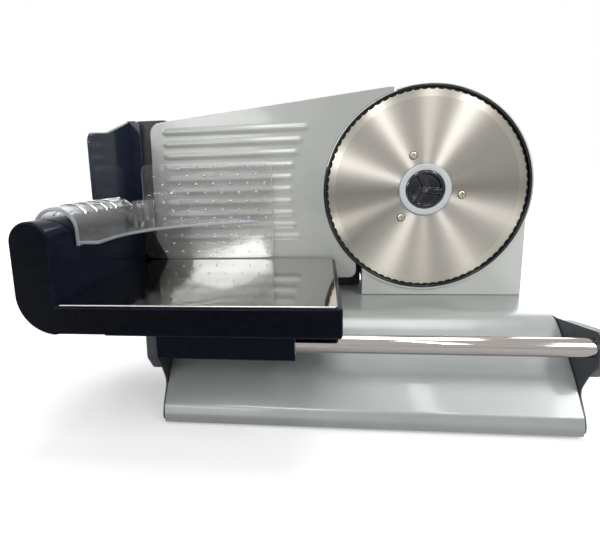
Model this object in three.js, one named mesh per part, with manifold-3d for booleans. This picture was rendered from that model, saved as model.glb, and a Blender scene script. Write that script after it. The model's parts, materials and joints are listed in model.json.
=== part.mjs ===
// An electric food slicer: a painted metal base with a chrome rod, a round serrated blade in an upright,
// a ribbed plate that sets the slice, and a food carriage with a clear pusher.
// Lengths are millimetres. X runs to the right, Y away from the user, Z up.
// The blade turns about a Y axis at X = 0, its guard rim stands at Y = 0, and the table is at Z = 0.

import * as THREE from "three";
import { mergeVertices } from "three/addons/utils/BufferGeometryUtils.js";
import Module from "manifold-3d";

const wasm = await Module();
wasm.setup();

// Clearances and the overrun that lets a cutter pass clean through.
const gap = 0.3;
const overrun = 1;

// Blade, its hub and its lock knob.
const bladeRadius = 95;
const bladeThickness = 1.2;
const bladeFront = 2;
const bladeTeeth = 80;
const toothDepth = 1.5;
const hubRadius = 25;
const hubFront = 0.5;
const hubFlangeRadius = 42;
const hubFlangeThickness = 2.4;
const hubFloorThickness = 1;
const lockKnobRadius = 18.5;
const lockKnobSink = 0.4;
const lockLobeDepth = 2.6;
const lockLobeWidth = 7;
const lockLobeMargin = 7;
const lockEyeRadius = 4;
const bladeScrewCircle = 35;
const bladeScrewHeadRadius = 3.4;
const bladeScrewHeadHeight = 0.9;
const bladeScrewShankRadius = 1.6;
const bladeScrewFirstAngle = -9.5;
const bladeScrewCount = 3;
const crossSlotWidth = 0.9;
const crossSlotLengthShare = 1.2;
const crossSlotDepthShare = 0.5;
const spindleFront = 4.2;
const lockKnobBack = 5;

// Guard ring round the blade and the upright that carries it.
const ringWall = 1.7;
const bladeRunningGap = 0.9;
const ringFront = 0.6;
const ringFloorThickness = 1.4;
const ringFloorHoleRadius = 44;
const recessDepth = 7;
const rimWall = 1.6;
const rimFront = 0.2;
const rimFirstAngle = -127;
const rimLastAngle = 107.5;
const towerBack = 15;
const columnLeft = -59.5;
const columnRight = 95.4;
const columnFront = 2;
const columnTop = 205;
const columnCorner = 6;
const towerFootThickness = 2;
const towerBossRadius = 13;
const towerBossLength = 4.4;

// Base shell, its end caps, its floor and its feet.
const baseLeft = -232;
const baseRight = 98;
const baseRear = 75;
const baseTop = 81;
const baseWall = 2.5;
const baseBottom = 3;
const baseTopCorner = 8;
const baseCrease = -71;
const deckRoll = 41;
const swellUpperY = -95;
const swellUpperZ = 57.5;
const swellLowerY = -112;
const swellLowerZ = 41.5;
const swellCorner = 80;
const lowerCreaseY = -132.8;
const lowerCreaseZ = 17.5;
const bulgeY = -135.5;
const bulgeZ = 9.5;
const frontFootY = -134.3;
const softCorner = 9;
const creaseCorner = 3;
const capPlate = 1.5;
const hornLength = 9.5;
const hornTop = 88;
const hornBottom = 62;
const hornFootY = -129;
const hornFootZ = 49;
const hornHeelY = -119;
const hornHeelZ = 33.4;
const capProud = 2;
const capInset = 1.5;
const socketDepth = 5;
const floorThickness = 2;
const footPadRadius = 17;
const footCupRadius = 13;
const footCupDepth = 1.6;
const footRimHeight = 0.9;
const footStemRadius = 4;
const footBarbRadius = 5.6;
const footBarbHeight = 2.4;
const footInset = 32;
const floorScrewHeadRadius = 3.4;
const floorScrewHeadHeight = 1.4;
const floorScrewShankRadius = 1.6;
const floorScrewLength = 7;
const floorBossRadius = 4.5;
const floorBossY = 30;
const floorBossInset = 14;
const footFrontY = -104;
const footRearY = 46;
const glandFlangeRadius = 9;
const glandFlangeThickness = 2;
const glandNoseRadius = 6;
const glandTipRadius = 4.6;
const glandNoseLength = 18;
const glandTailLength = 4;
const glandFromRight = 48;
const glandHeight = 24;
const glandBoreRadius = 3.4;

// Chrome rod that the carriage rides on.
const rodRadius = 7.4;
const rodY = -132;
const rodZ = 73.8;
const rodChamfer = 0.8;

// Plate that sets the slice, with its carrier, guide bars and adjuster.
const plateLeft = -274.7;
const plateFace = 2.2;
const plateThickness = 3;
const plateTopLeftZ = 258.6;
const plateTopRightX = -32;
const plateTopRightZ = 284.6;
const plateBottom = 98.9;
const plateRight = -65.6;
const plateTopCorner = 11;
const plateBottomCorner = 7.5;
const ribCount = 10;
const ribPitch = 12;
const ribLowest = 142;
const ribWidth = 6.6;
const ribHeight = 1.2;
const ribLeft = -262;
const ribEndCircle = 128.5;
const carrierThickness = 4;
const carrierLeft = -290;
const carrierTop = 262.4;
const carrierTabRight = -258;
const carrierInset = 2.4;
const carrierBossRadius = 9;
const carrierBossLength = 22;
const guideBarRadius = 5;
const guideBarLength = 68;
const guideClearance = 11.4;
const lowerGuideZ = 124;
const upperGuideZ = 196;
const adjusterZ = 160;
const adjusterRadius = 5;
const adjusterFront = 24.2;
const guideBlockMargin = 20;
const guideBlockFront = 46;
const guideBlockBack = 60;
const guideBlockTop = 212;
const guideBlockCorner = 3;
const knobRadius = 21;
const knobLength = 17;
const knobSkirtRadius = 24;
const knobSkirtLength = 4;
const knobGripCount = 18;
const knobGripRadius = 1.5;
const knobMarkRadius = 1.4;

// Rear housing with the drive: blade gear, idler and motor.
const housingLeft = -58;
const housingRight = 97;
const housingSeat = 3.6;
const housingShoulderRise = 21;
const housingTopRise = 57;
const housingTopLeft = -36;
const housingTopRight = 60;
const housingLeftShoulderRise = 27;
const housingBack = 88;
const housingWall = 2.5;
const housingCorner = 12;
const housingSoftCorner = 20;
const ventCount = 7;
const ventWidth = 3;
const ventLength = 46;
const ventPitch = 7;
const ventLeft = 4;
const ventRise = 33.4;
const bladeGearTeeth = 60;
const idlerPinionTeeth = 12;
const slowModule = 1.5;
const idlerWheelTeeth = 40;
const motorPinionTeeth = 10;
const fastModule = 1;
const slowGearFront = 20;
const slowGearWidth = 8;
const fastGearFront = 29;
const fastGearWidth = 6;
const idlerDirection = -50;
const motorDirection = -100;
const spindleRadius = 5;
const spindleBack = 46;
const bushWall = 3.4;
const idlerShaftRadius = 3;
const idlerShaftSeat = 4.5;
const bracketFront = 36.3;
const bracketThickness = 2.5;
const bracketLeft = -15;
const bracketRight = 57;
const bracketDrop = 93;
const bracketRise = 13;
const bracketCorner = 8;
const bracketPostInset = 6;
const leftPostDrop = 53;
const rightPostDrop = 12;
const bracketPostRadius = 4;
const bracketBossLength = 5;
const motorRadius = 25;
const motorWall = 2.2;
const motorLength = 44;
const motorClearance = 8.9134;
const armatureRadius = 18;
const armatureLength = 24;
const armatureFrontInset = 6;
const motorShaftRadius = 2.5;
const fanRadius = 19;
const fanThickness = 1.6;
const fanBladeHeight = 5;
const fanBladeCount = 8;
const housingPostRadius = 4.5;
const housingPostInset = 9;
const housingPostRise = 17;
const housingPostLeftInset = 7.5;
const housingScrewLength = 9;
const housingScrewShankRadius = 1.8;
const housingScrewRadius = 3.4;
const housingScrewHeight = 1.8;
const footBoltRadius = 4;
const footBoltHeight = 2.4;
const footBoltInset = 9;
const footBoltY = 40;
const switchY = 52;
const switchRise = 43.4;
const switchLength = 22;
const switchSwing = 2.4;
const switchWidth = 15;
const switchDepth = 9;
const switchProud = 2.6;
const switchCorner = 2;
const buttonY = 52;
const buttonAboveSwitch = 40;
const buttonRadius = 9;
const buttonProud = 5;
const buttonLip = 2;
const buttonLipThickness = 1.5;
const buttonBehind = 6;

// Food carriage: frame, tray, runner, glide and hand guard.
const carriageLeft = -314;
const carriageRight = -87;
const carriageFront = -195.4;
const carriageBack = -4.5;
const carriageBottom = 98.7;
const endWallWidth = 29.5;
const endWallTop = 178.7;
const carriageCorner = 29;
const carriageSmallCorner = 3;
const carriageWall = 3.4;
const trayTop = 120.8;
const trayThickness = 1.2;
const trayRightInset = 3.2;
const trayFrontInset = 0.8;
const runnerLeft = -231.6;
const runnerRight = -121.3;
const runnerHalfWidth = 12;
const runnerBottom = 61.9;
const runnerCorner = 4;
const bushLength = 18;
const slideBushWall = 2;
const glideLeft = -205;
const glideRight = -150;
const glideFront = -60;
const glideBack = -46;
const guardWall = 3;
const guardInset = 17.2;
const guardFront = -97;
const guardBack = -0.6;
const guardStripWall = 2.4;
const guardStripWidth = 13.5;
const guardWingBottom = 187.8;
const guardPostFront = -36;
const guardFrontTop = 244;
const guardBackTop = 262;
const guardRiseY = -58;
const guardCorner = 9;

// Clear pusher: spiked plate, saddle over the end wall and gusset shelf.
const pusherLeft = -284;
const pusherRight = -150;
const pusherBottom = 121.8;
const pusherTop = 218.2;
const pusherBack = -3.6;
const pusherThickness = 2.6;
const pusherCorner = 7;
const spikeHeight = 2.5;
const spikeRadius = 1.7;
const spikeRows = 11;
const spikeColumns = 7;
const spikeRowPitch = 8.65;
const spikeColumnPitch = 17.6;
const spikeTopInset = 3.6;
const spikeLeftInset = 12.7;
const spikeStagger = 8.8;
const saddleFront = -158;
const saddleBack = -38;
const saddleClearance = 0.75;
const saddleWall = 2.8;
const saddleTop = 186;
const saddleBottom = 157;
const collarProud = 1.2;
const collarLength = 5;
const gripRibs = 4;
const gripRibPitch = 20;
const gripRibHeight = 1.2;
const gripRibThickness = 8.5;
const gripFirstY = -137;
const gripHalfAngle = 52;
const shelfBottom = 158;
const shelfThickness = 2.5;
const shelfNearWidth = 15;
const shelfStraightBack = -128;
const shelfFarRight = -165;
const shelfBendX = -264.5;
const shelfBendY = -41;
const linkBottom = 161;
const linkTop = 184;
const linkWidth = 10.5;

const halfTurnDegrees = 180;
const degree = Math.PI / halfTurnDegrees;
const fullTurn = 2 * Math.PI;
const fine = 72;
const round = 28;
const small = 14;
const arcSteps = 5;

// Finishes.
function finish(color, roughness, metalness, opacity = 1) {
  return new THREE.MeshStandardMaterial({ color, roughness, metalness, opacity, transparent: opacity < 1 });
}
const silverPaint = finish(0xb9bfc0, 0.38, 0.55);
const darkGrey = finish(0x3b4044, 0.5, 0);
const glossBlack = finish(0x0d1222, 0.15, 0);
const mattBlack = finish(0x17181b, 0.6, 0);
const chromeSteel = finish(0xd9dadb, 0.08, 1);
const brushedSteel = finish(0xb8b2a8, 0.3, 1);
const mirrorSteel = finish(0xc9c8c4, 0.1, 1);
const clearPlastic = finish(0xe6ebec, 0.08, 0, 0.3);
const hubGrey = finish(0x9da2a5, 0.45, 0);
const nylon = finish(0xe4e0d2, 0.5, 0);
const bronze = finish(0xa97a45, 0.4, 1);
const zincSteel = finish(0xa9adb0, 0.35, 1);
const rubber = finish(0x1c1c1d, 0.8, 0);
const lacquer = finish(0x7a3c22, 0.35, 0.6);

// Signed volume of a triangle list: it is negative when the faces point inwards.
function signedVolume(geometry) {
  const p = geometry.getAttribute("position");
  const corners = [new THREE.Vector3(), new THREE.Vector3(), new THREE.Vector3()];
  let volume = 0;
  for (let i = 0; i < p.count; i += corners.length) {
    corners.forEach((corner, k) => corner.fromBufferAttribute(p, i + k));
    volume += corners[0].dot(corners[1].clone().cross(corners[2]));
  }
  return volume;
}

// A closed geometry becomes a solid with merged corners and its faces pointing out.
function solid(geometry) {
  const loose = geometry.index ? geometry.toNonIndexed() : geometry;
  loose.deleteAttribute("normal");
  loose.deleteAttribute("uv");
  const inwards = signedVolume(loose) < 0;
  const merged = mergeVertices(loose);
  const triVerts = Uint32Array.from(merged.index.array);
  if (inwards) {
    for (let i = 0; i < triVerts.length; i += 3) {
      [triVerts[i + 1], triVerts[i + 2]] = [triVerts[i + 2], triVerts[i + 1]];
    }
  }
  const vertProperties = Float32Array.from(merged.getAttribute("position").array);
  return new wasm.Manifold(new wasm.Mesh({ numProp: 3, vertProperties, triVerts }));
}

function join(first, ...others) {
  return others.reduce((whole, piece) => whole.add(piece), first);
}

function cut(first, ...others) {
  return others.reduce((whole, piece) => whole.subtract(piece), first);
}

// An open or closed outline from corners [x, y, radius], with each radius drawn as an arc.
function outline(corners, closed = true) {
  const points = [];
  corners.forEach(([x, y, radius = 0], i) => {
    const corner = new THREE.Vector2(x, y);
    const isEnd = !closed && (i === 0 || i === corners.length - 1);
    if (radius === 0 || isEnd) {
      points.push(corner);
      return;
    }
    const before = new THREE.Vector2(...corners[(i + corners.length - 1) % corners.length].slice(0, 2));
    const after = new THREE.Vector2(...corners[(i + 1) % corners.length].slice(0, 2));
    const toBefore = before.sub(corner);
    const toAfter = after.sub(corner);
    const room = Math.min(toBefore.length(), toAfter.length()) / 2;
    toBefore.normalize();
    toAfter.normalize();
    const halfAngle = Math.acos(THREE.MathUtils.clamp(toBefore.dot(toAfter), -1, 1)) / 2;
    const reach = Math.min(radius / Math.tan(halfAngle), room);
    const drawnRadius = reach * Math.tan(halfAngle);
    const inward = toBefore.clone().add(toAfter).normalize();
    const centre = corner.clone().addScaledVector(inward, drawnRadius / Math.sin(halfAngle));
    const start = corner.clone().addScaledVector(toBefore, reach).sub(centre);
    const end = corner.clone().addScaledVector(toAfter, reach).sub(centre);
    const turn = Math.atan2(start.cross(end), start.dot(end));
    for (let step = 0; step <= arcSteps; step += 1) {
      points.push(start.clone().rotateAround(new THREE.Vector2(), (turn * step) / arcSteps).add(centre));
    }
  });
  return points;
}

function rectangle(left, right, bottom, top, radius = 0) {
  return outline([
    [left, bottom, radius],
    [right, bottom, radius],
    [right, top, radius],
    [left, top, radius],
  ]);
}

function circle(x, y, radius, segments = round) {
  const points = [];
  for (let i = 0; i < segments; i += 1) {
    const angle = (fullTurn * i) / segments;
    points.push(new THREE.Vector2(x + radius * Math.cos(angle), y + radius * Math.sin(angle)));
  }
  return points;
}

// The part of a circle from one angle to another, both ends included, in degrees.
function arc(x, y, radius, from, to, segments = round) {
  const points = [];
  for (let i = 0; i <= segments; i += 1) {
    const angle = (from + ((to - from) * i) / segments) * degree;
    points.push(new THREE.Vector2(x + radius * Math.cos(angle), y + radius * Math.sin(angle)));
  }
  return points;
}

// A path moved sideways by a distance, to the left of its direction when the distance is positive.
function besides(path, distance, closed = false) {
  const last = path.length - 1;
  return path.map((point, i) => {
    const before = i > 0 ? path[i - 1] : path[closed ? last : 0];
    const after = i < last ? path[i + 1] : path[closed ? 0 : last];
    const incoming = point.clone().sub(before).normalize();
    const outgoing = after.clone().sub(point).normalize();
    const along = incoming.clone().add(outgoing).normalize();
    const normal = new THREE.Vector2(-along.y, along.x);
    const spread = Math.max(Math.abs(along.dot(incoming)), Math.abs(along.dot(outgoing)));
    return point.clone().addScaledVector(normal, distance / Math.max(spread, Math.SQRT1_2));
  });
}

function prism(points, depth, basis) {
  const geometry = new THREE.ExtrudeGeometry(new THREE.Shape(points), { depth, bevelEnabled: false });
  return solid(geometry.applyMatrix4(basis));
}

const xAxis = new THREE.Vector3(1, 0, 0);
const yAxis = new THREE.Vector3(0, 1, 0);
const zAxis = new THREE.Vector3(0, 0, 1);

// Prisms: an outline in (Y, Z) run along X, in (X, Z) run along Y, or in (X, Y) run along Z.
function alongX(points, from, to) {
  const basis = new THREE.Matrix4().makeBasis(yAxis, zAxis, xAxis).setPosition(from, 0, 0);
  return prism(points, to - from, basis);
}

function alongY(points, from, to) {
  const basis = new THREE.Matrix4().makeBasis(xAxis, zAxis, yAxis.clone().negate()).setPosition(0, to, 0);
  return prism(points, to - from, basis);
}

function alongZ(points, from, to) {
  const basis = new THREE.Matrix4().setPosition(0, 0, from);
  return prism(points, to - from, basis);
}

function block(x0, x1, y0, y1, z0, z1) {
  return alongZ(rectangle(x0, x1, y0, y1), z0, z1);
}

// Turned pieces: a profile of [radius, place along the axis], about an axis along Y, X or Z.
function turned(profile, segments) {
  return new THREE.LatheGeometry(profile.map(([r, h]) => new THREE.Vector2(r, h)), segments);
}

function turnedY(profile, x, z, segments = round) {
  return solid(turned(profile, segments).translate(x, 0, z));
}

function turnedX(profile, y, z, segments = round) {
  return solid(turned(profile, segments).rotateZ(-Math.PI / 2).translate(0, y, z));
}

function turnedZ(profile, x, y, segments = round) {
  return solid(turned(profile, segments).rotateX(Math.PI / 2).translate(x, y, 0));
}

// The profile of a plain pin or of a tube.
function pin(radius, from, to) {
  return [[0, from], [radius, from], [radius, to], [0, to]];
}

function tube(inner, outer, from, to) {
  return [[inner, from], [outer, from], [outer, to], [inner, to], [inner, from]];
}

const slicer = new THREE.Group();
slicer.name = "food_slicer";

function place(name, shape, material) {
  const mesh = shape.getMesh();
  const geometry = new THREE.BufferGeometry();
  const positions = new Float32Array((mesh.vertProperties.length / mesh.numProp) * 3);
  for (let i = 0; i < positions.length / 3; i += 1) {
    positions.set(mesh.vertProperties.slice(i * mesh.numProp, i * mesh.numProp + 3), i * 3);
  }
  geometry.setAttribute("position", new THREE.BufferAttribute(positions, 3));
  geometry.setIndex(new THREE.BufferAttribute(Uint32Array.from(mesh.triVerts), 1));
  geometry.computeVertexNormals();
  const piece = new THREE.Mesh(geometry, material);
  piece.name = name;
  slicer.add(piece);
}

// Base shell: one bent section run along X, with bosses for the floor screws.
const baseSection = outline(
  [
    [baseRear, baseBottom],
    [baseRear, baseTop, baseTopCorner],
    [baseCrease, baseTop, deckRoll],
    [swellUpperY, swellUpperZ, swellCorner],
    [swellLowerY, swellLowerZ, swellCorner],
    [lowerCreaseY, lowerCreaseZ, creaseCorner],
    [bulgeY, bulgeZ, softCorner],
    [frontFootY, baseBottom],
  ],
  false,
);
const floorTop = baseBottom + floorThickness;
const floorScrewX = [baseLeft + floorBossInset, baseRight - floorBossInset];
const floorScrewY = [-floorBossY, floorBossY];
const floorScrews = floorScrewX.flatMap((x) => floorScrewY.map((y) => [x, y]));
const footX = [baseLeft + footInset, baseRight - footInset];
const feet = footX.flatMap((x) => [footFrontY, footRearY].map((y) => [x, y]));
const footBoltX = [columnLeft + footBoltInset, columnRight - footBoltInset];
const boltShankRadius = footBoltRadius / 2;
const glandX = baseRight - glandFromRight;

function buildBase() {
  const inner = besides(baseSection, baseWall);
  let shell = alongX([...baseSection, ...inner.reverse()], baseLeft, baseRight);
  floorScrews.forEach(([x, y]) => {
    const boss = turnedZ(pin(floorBossRadius, floorTop + gap, baseTop - baseWall / 2), x, y, small);
    const hole = turnedZ(pin(floorScrewShankRadius + gap, 0, floorTop + floorScrewLength), x, y, small);
    shell = cut(join(shell, boss), hole);
  });
  const boltHoles = footBoltX.map((x) =>
    turnedZ(pin(boltShankRadius + gap, baseTop - baseWall - overrun, baseTop + overrun), x, footBoltY, small),
  );
  const cordHole = pin(glandNoseRadius, baseRear - baseWall - overrun, baseRear + overrun);
  place("base_housing", cut(shell, ...boltHoles, turnedY(cordHole, glandX, glandHeight, small)), silverPaint);
}

function buildFloor() {
  const front = frontFootY + baseWall + gap;
  const rear = baseRear - baseWall - gap;
  const plate = alongZ(rectangle(baseLeft, baseRight, front, rear), baseBottom, floorTop);
  const through = [baseBottom - overrun, floorTop + overrun];
  const screwHoles = floorScrews.map(([x, y]) =>
    turnedZ(pin(floorScrewShankRadius + gap, ...through), x, y, small),
  );
  const footHoles = feet.map(([x, y]) => turnedZ(pin(footStemRadius + gap, ...through), x, y, small));
  place("base_floor", cut(plate, ...screwHoles, ...footHoles), mattBlack);
}

// A foot is a suction cup with a barbed stem pushed through the floor.
function buildFeet() {
  const padTop = baseBottom - gap;
  const barbBottom = floorTop + gap;
  const profile = [
    [0, footCupDepth],
    [footCupRadius, 0],
    [footPadRadius, 0],
    [footPadRadius, footRimHeight],
    [footPadRadius - footStemRadius, padTop],
    [footStemRadius, padTop],
    [footStemRadius, barbBottom],
    [footBarbRadius, barbBottom],
    [footStemRadius, barbBottom + footBarbHeight],
    [0, barbBottom + footBarbHeight],
  ];
  const names = ["foot_front_left", "foot_rear_left", "foot_front_right", "foot_rear_right"];
  feet.forEach(([x, y], i) => place(names[i], turnedZ(profile, x, y, small), rubber));
}

function buildFloorScrews() {
  const headTop = baseBottom - gap;
  floorScrews.forEach(([x, y], i) => {
    const head = turnedZ(pin(floorScrewHeadRadius, headTop - floorScrewHeadHeight, headTop), x, y, small);
    const shankTop = floorTop + floorScrewLength - gap;
    const shank = turnedZ(pin(floorScrewShankRadius, headTop - floorScrewHeadHeight, shankTop), x, y, small);
    place(`floor_screw_${i + 1}`, join(head, shank), zincSteel);
  });
}

// An end cap closes the shell and its horn holds one end of the rod.
const capSection = outline([
  [frontFootY + capInset, baseBottom + capInset, capInset],
  [baseRear - capInset, baseBottom + capInset, capInset],
  [baseRear - capInset, baseTop - capProud, baseTopCorner],
  [baseCrease, baseTop - capProud, softCorner],
  [rodY + rodRadius, hornTop - capProud, softCorner],
  [rodY - rodRadius - capInset, hornTop, rodRadius],
  [rodY - rodRadius - capProud, hornBottom, rodRadius],
  [hornFootY, hornFootZ, softCorner],
  [hornHeelY, hornHeelZ, softCorner],
  [lowerCreaseY + capProud, lowerCreaseZ, softCorner],
  [bulgeY + capInset, bulgeZ, softCorner],
]);

function buildCap(name, innerFace, outwards) {
  const ends = (depth) => [innerFace, innerFace + outwards * depth].sort((a, b) => a - b);
  const plate = alongX(capSection, ...ends(capPlate));
  const hornZone = rectangle(rodY - hornLength - capPlate, baseCrease - softCorner, hornFootZ, hornTop + overrun);
  const horn = alongX(capSection, ...ends(hornLength)).intersect(alongX(hornZone, ...ends(hornLength)));
  const socketEnds = [innerFace - outwards * overrun, innerFace + outwards * socketDepth];
  const socket = turnedX(pin(rodRadius + gap, ...socketEnds.sort((a, b) => a - b)), rodY, rodZ);
  place(name, cut(join(plate, horn), socket), darkGrey);
}

function buildRod() {
  const from = baseLeft - gap - socketDepth + gap;
  const to = baseRight + gap + socketDepth - gap;
  const profile = [
    [0, from],
    [rodRadius - rodChamfer, from],
    [rodRadius, from + rodChamfer],
    [rodRadius, to - rodChamfer],
    [rodRadius - rodChamfer, to],
    [0, to],
  ];
  place("guide_rod", turnedX(profile, rodY, rodZ), chromeSteel);
}

function buildGland() {
  const flangeBack = baseRear + gap + glandFlangeThickness;
  const tailRadius = glandNoseRadius - gap;
  const tailEnd = baseRear - baseWall - glandTailLength;
  const profile = [
    [glandBoreRadius, tailEnd],
    [tailRadius, tailEnd],
    [tailRadius, baseRear + gap],
    [glandFlangeRadius, baseRear + gap],
    [glandFlangeRadius, flangeBack],
    [glandNoseRadius, flangeBack],
    [glandTipRadius, flangeBack + glandNoseLength],
    [glandBoreRadius, flangeBack + glandNoseLength],
    [glandBoreRadius, tailEnd],
  ];
  place("cord_gland", turnedY(profile, glandX, glandHeight, small), rubber);
}

buildBase();
buildFloor();
buildFeet();
buildFloorScrews();
buildCap("end_cap_left", baseLeft - gap, -1);
buildCap("end_cap_right", baseRight + gap, 1);
buildRod();
buildGland();

// Places of the drive axes, worked out from the tooth counts.
const slowCentres = (slowModule * (bladeGearTeeth + idlerPinionTeeth)) / 2;
const fastCentres = (fastModule * (idlerWheelTeeth + motorPinionTeeth)) / 2;
const motorDrop = -slowCentres * Math.sin(idlerDirection * degree) - fastCentres * Math.sin(motorDirection * degree);

// The blade's axis sits so high that the motor clears the floor of the housing.
const housingBottom = baseTop + housingSeat;
const axisX = 0;
const axisZ = housingBottom + housingWall + motorClearance + motorRadius + motorDrop;
const idlerX = axisX + slowCentres * Math.cos(idlerDirection * degree);
const idlerZ = axisZ + slowCentres * Math.sin(idlerDirection * degree);
const motorX = idlerX + fastCentres * Math.cos(motorDirection * degree);
const motorZ = idlerZ + fastCentres * Math.sin(motorDirection * degree);

// Heights that follow the blade's axis or the floor of the housing.
const housingShoulder = axisZ + housingShoulderRise;
const housingLeftShoulder = axisZ + housingLeftShoulderRise;
const housingTop = axisZ + housingTopRise;
const housingPostTopZ = axisZ + housingPostRise;
const bracketBottom = axisZ - bracketDrop;
const bracketTop = axisZ + bracketRise;
const leftPostTopZ = axisZ - leftPostDrop;
const rightPostTopZ = axisZ - rightPostDrop;
const ventMiddleZ = housingBottom + ventRise;
const switchZ = housingBottom + switchRise;
const buttonZ = switchZ + buttonAboveSwitch;
const guardX = carriageLeft + guardInset;
const bushRadius = spindleRadius + gap + bushWall;
const ringRadius = bladeRadius + bladeRunningGap + ringWall;
const rimInner = ringRadius + gap;
const guideX = axisX - ringRadius - guideClearance - guideBarRadius;
const guideBlockLeft = guideX - guideBlockMargin;
const footTop = baseTop + gap + towerFootThickness;
const housingFront = towerBack + gap;
const housingPosts = [
  [housingLeft + housingPostInset, housingBottom + housingPostInset + gap],
  [housingRight - housingPostInset, housingBottom + housingPostInset + gap],
  [housingRight - housingPostInset, housingPostTopZ - housingPostInset],
  [housingLeft + housingPostLeftInset, housingPostTopZ],
];

// Upright: column, round blade recess with its bright rim, foot, and posts that carry the rear housing.
function buildTower() {
  const column = alongY(
    outline([
      [columnLeft, footTop - towerFootThickness],
      [columnRight, footTop - towerFootThickness],
      [columnRight, columnTop, columnCorner],
      [columnLeft, columnTop, columnCorner],
    ]),
    columnFront,
    towerBack,
  );
  const foot = block(housingLeft, columnRight, columnFront, baseRear - housingPostInset, baseTop + gap, footTop);
  const disc = turnedY(pin(ringRadius, recessDepth, towerBack), axisX, axisZ, fine);
  const outerArc = arc(axisX, axisZ, rimInner + rimWall, rimFirstAngle, rimLastAngle, fine);
  const innerArc = arc(axisX, axisZ, ringRadius - rimWall, rimFirstAngle, rimLastAngle, fine).reverse();
  const rim = alongY([...outerArc, ...innerArc], rimFront, towerBack);
  const recess = turnedY(pin(rimInner, rimFront - overrun, recessDepth), axisX, axisZ, fine);
  const boss = turnedY(pin(towerBossRadius, towerBack, towerBack + towerBossLength), axisX, axisZ);
  const posts = housingPosts.map(([x, z]) =>
    turnedY(pin(housingPostRadius, towerBack, housingBack - housingWall - gap), x, z, small),
  );
  const postHoles = housingPosts.map(([x, z]) => {
    const back = housingBack - housingWall;
    return turnedY(pin(housingScrewShankRadius + gap, back - housingScrewLength, back), x, z, small);
  });
  const bore = turnedY(pin(bushRadius + gap, 0, towerBack + towerBossLength + overrun), axisX, axisZ);
  const idlerSeat = pin(idlerShaftRadius + gap, towerBack - idlerShaftSeat, towerBack + overrun);
  const boltHoles = footBoltX.map((x) =>
    turnedZ(pin(boltShankRadius + gap, baseTop, footTop + overrun), x, footBoltY, small),
  );
  const whole = join(cut(join(column, rim), recess), disc, foot, boss, ...posts);
  place(
    "blade_upright",
    cut(whole, bore, turnedY(idlerSeat, idlerX, idlerZ, small), ...postHoles, ...boltHoles),
    silverPaint,
  );
}

function buildFootBolts() {
  footBoltX.forEach((x, i) => {
    const seat = baseTop - baseWall - gap;
    const head = turnedZ(pin(footBoltRadius, seat - footBoltHeight, seat), x, footBoltY, small);
    const shank = turnedZ(pin(boltShankRadius, seat - footBoltHeight, footTop), x, footBoltY, small);
    place(`upright_bolt_${i + 1}`, join(head, shank), zincSteel);
  });
}

function buildRing() {
  const inner = ringRadius - ringWall;
  const back = recessDepth - gap;
  const profile = [
    [ringFloorHoleRadius, back - ringFloorThickness],
    [inner, back - ringFloorThickness],
    [inner, ringFront],
    [ringRadius, ringFront],
    [ringRadius, back],
    [ringFloorHoleRadius, back],
    [ringFloorHoleRadius, back - ringFloorThickness],
  ];
  place("blade_guard_ring", turnedY(profile, axisX, axisZ, fine), mattBlack);
}

// Rear housing: a shell with a stepped outline, vent slots and openings for the switch and the button.
function buildHousing() {
  const corners = outline([
    [housingLeft, housingBottom, housingCorner],
    [housingRight, housingBottom, housingCorner],
    [housingRight, housingShoulder, housingCorner],
    [housingTopRight, housingTop, housingSoftCorner],
    [housingTopLeft, housingTop, housingSoftCorner],
    [housingLeft, housingLeftShoulder, housingSoftCorner],
  ]);
  const outer = alongY(corners, housingFront, housingBack);
  const inner = alongY(besides(corners, housingWall, true), housingFront - overrun, housingBack - housingWall);
  const wallSpan = [housingBack - housingWall - overrun, housingBack + overrun];
  const vents = [];
  for (let i = 0; i < ventCount; i += 1) {
    const x = ventLeft + i * ventPitch;
    const slot = rectangle(x, x + ventWidth, ventMiddleZ - ventLength / 2, ventMiddleZ + ventLength / 2);
    vents.push(alongY(slot, ...wallSpan));
  }
  const sideSpan = [housingRight - housingWall - overrun, housingRight + overrun];
  const halfWidth = switchWidth / 2 + gap;
  const halfLength = switchLength / 2 + switchSwing;
  const window = rectangle(switchY - halfWidth, switchY + halfWidth, switchZ - halfLength, switchZ + halfLength);
  const buttonHole = turnedX(pin(buttonRadius + gap, ...sideSpan), buttonY, buttonZ, small);
  const screwHoles = housingPosts.map(([x, z]) =>
    turnedY(pin(housingScrewShankRadius + gap, ...wallSpan), x, z, small),
  );
  const shell = cut(outer, inner, ...vents, alongX(window, ...sideSpan), buttonHole, ...screwHoles);
  place("rear_housing", shell, mattBlack);
}

function buildHousingScrews() {
  housingPosts.forEach(([x, z], i) => {
    const seat = housingBack + gap;
    const head = turnedY(pin(housingScrewRadius, seat, seat + housingScrewHeight), x, z, small);
    const tip = housingBack - housingWall - housingScrewLength + gap;
    const shank = turnedY(pin(housingScrewShankRadius, tip, seat + housingScrewHeight), x, z, small);
    place(`housing_screw_${i + 1}`, join(head, shank), zincSteel);
  });
}

buildTower();
buildFootBolts();
buildRing();
buildHousing();
buildHousingScrews();

// Gear teeth as straight-sided trapezoids with backlash, a tooth centred on the given direction.
const gearTipShare = 0.85;
const gearRootShare = 1.2;
const toothRootWidthShare = 0.29;
const toothTipWidthShare = 0.12;

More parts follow.
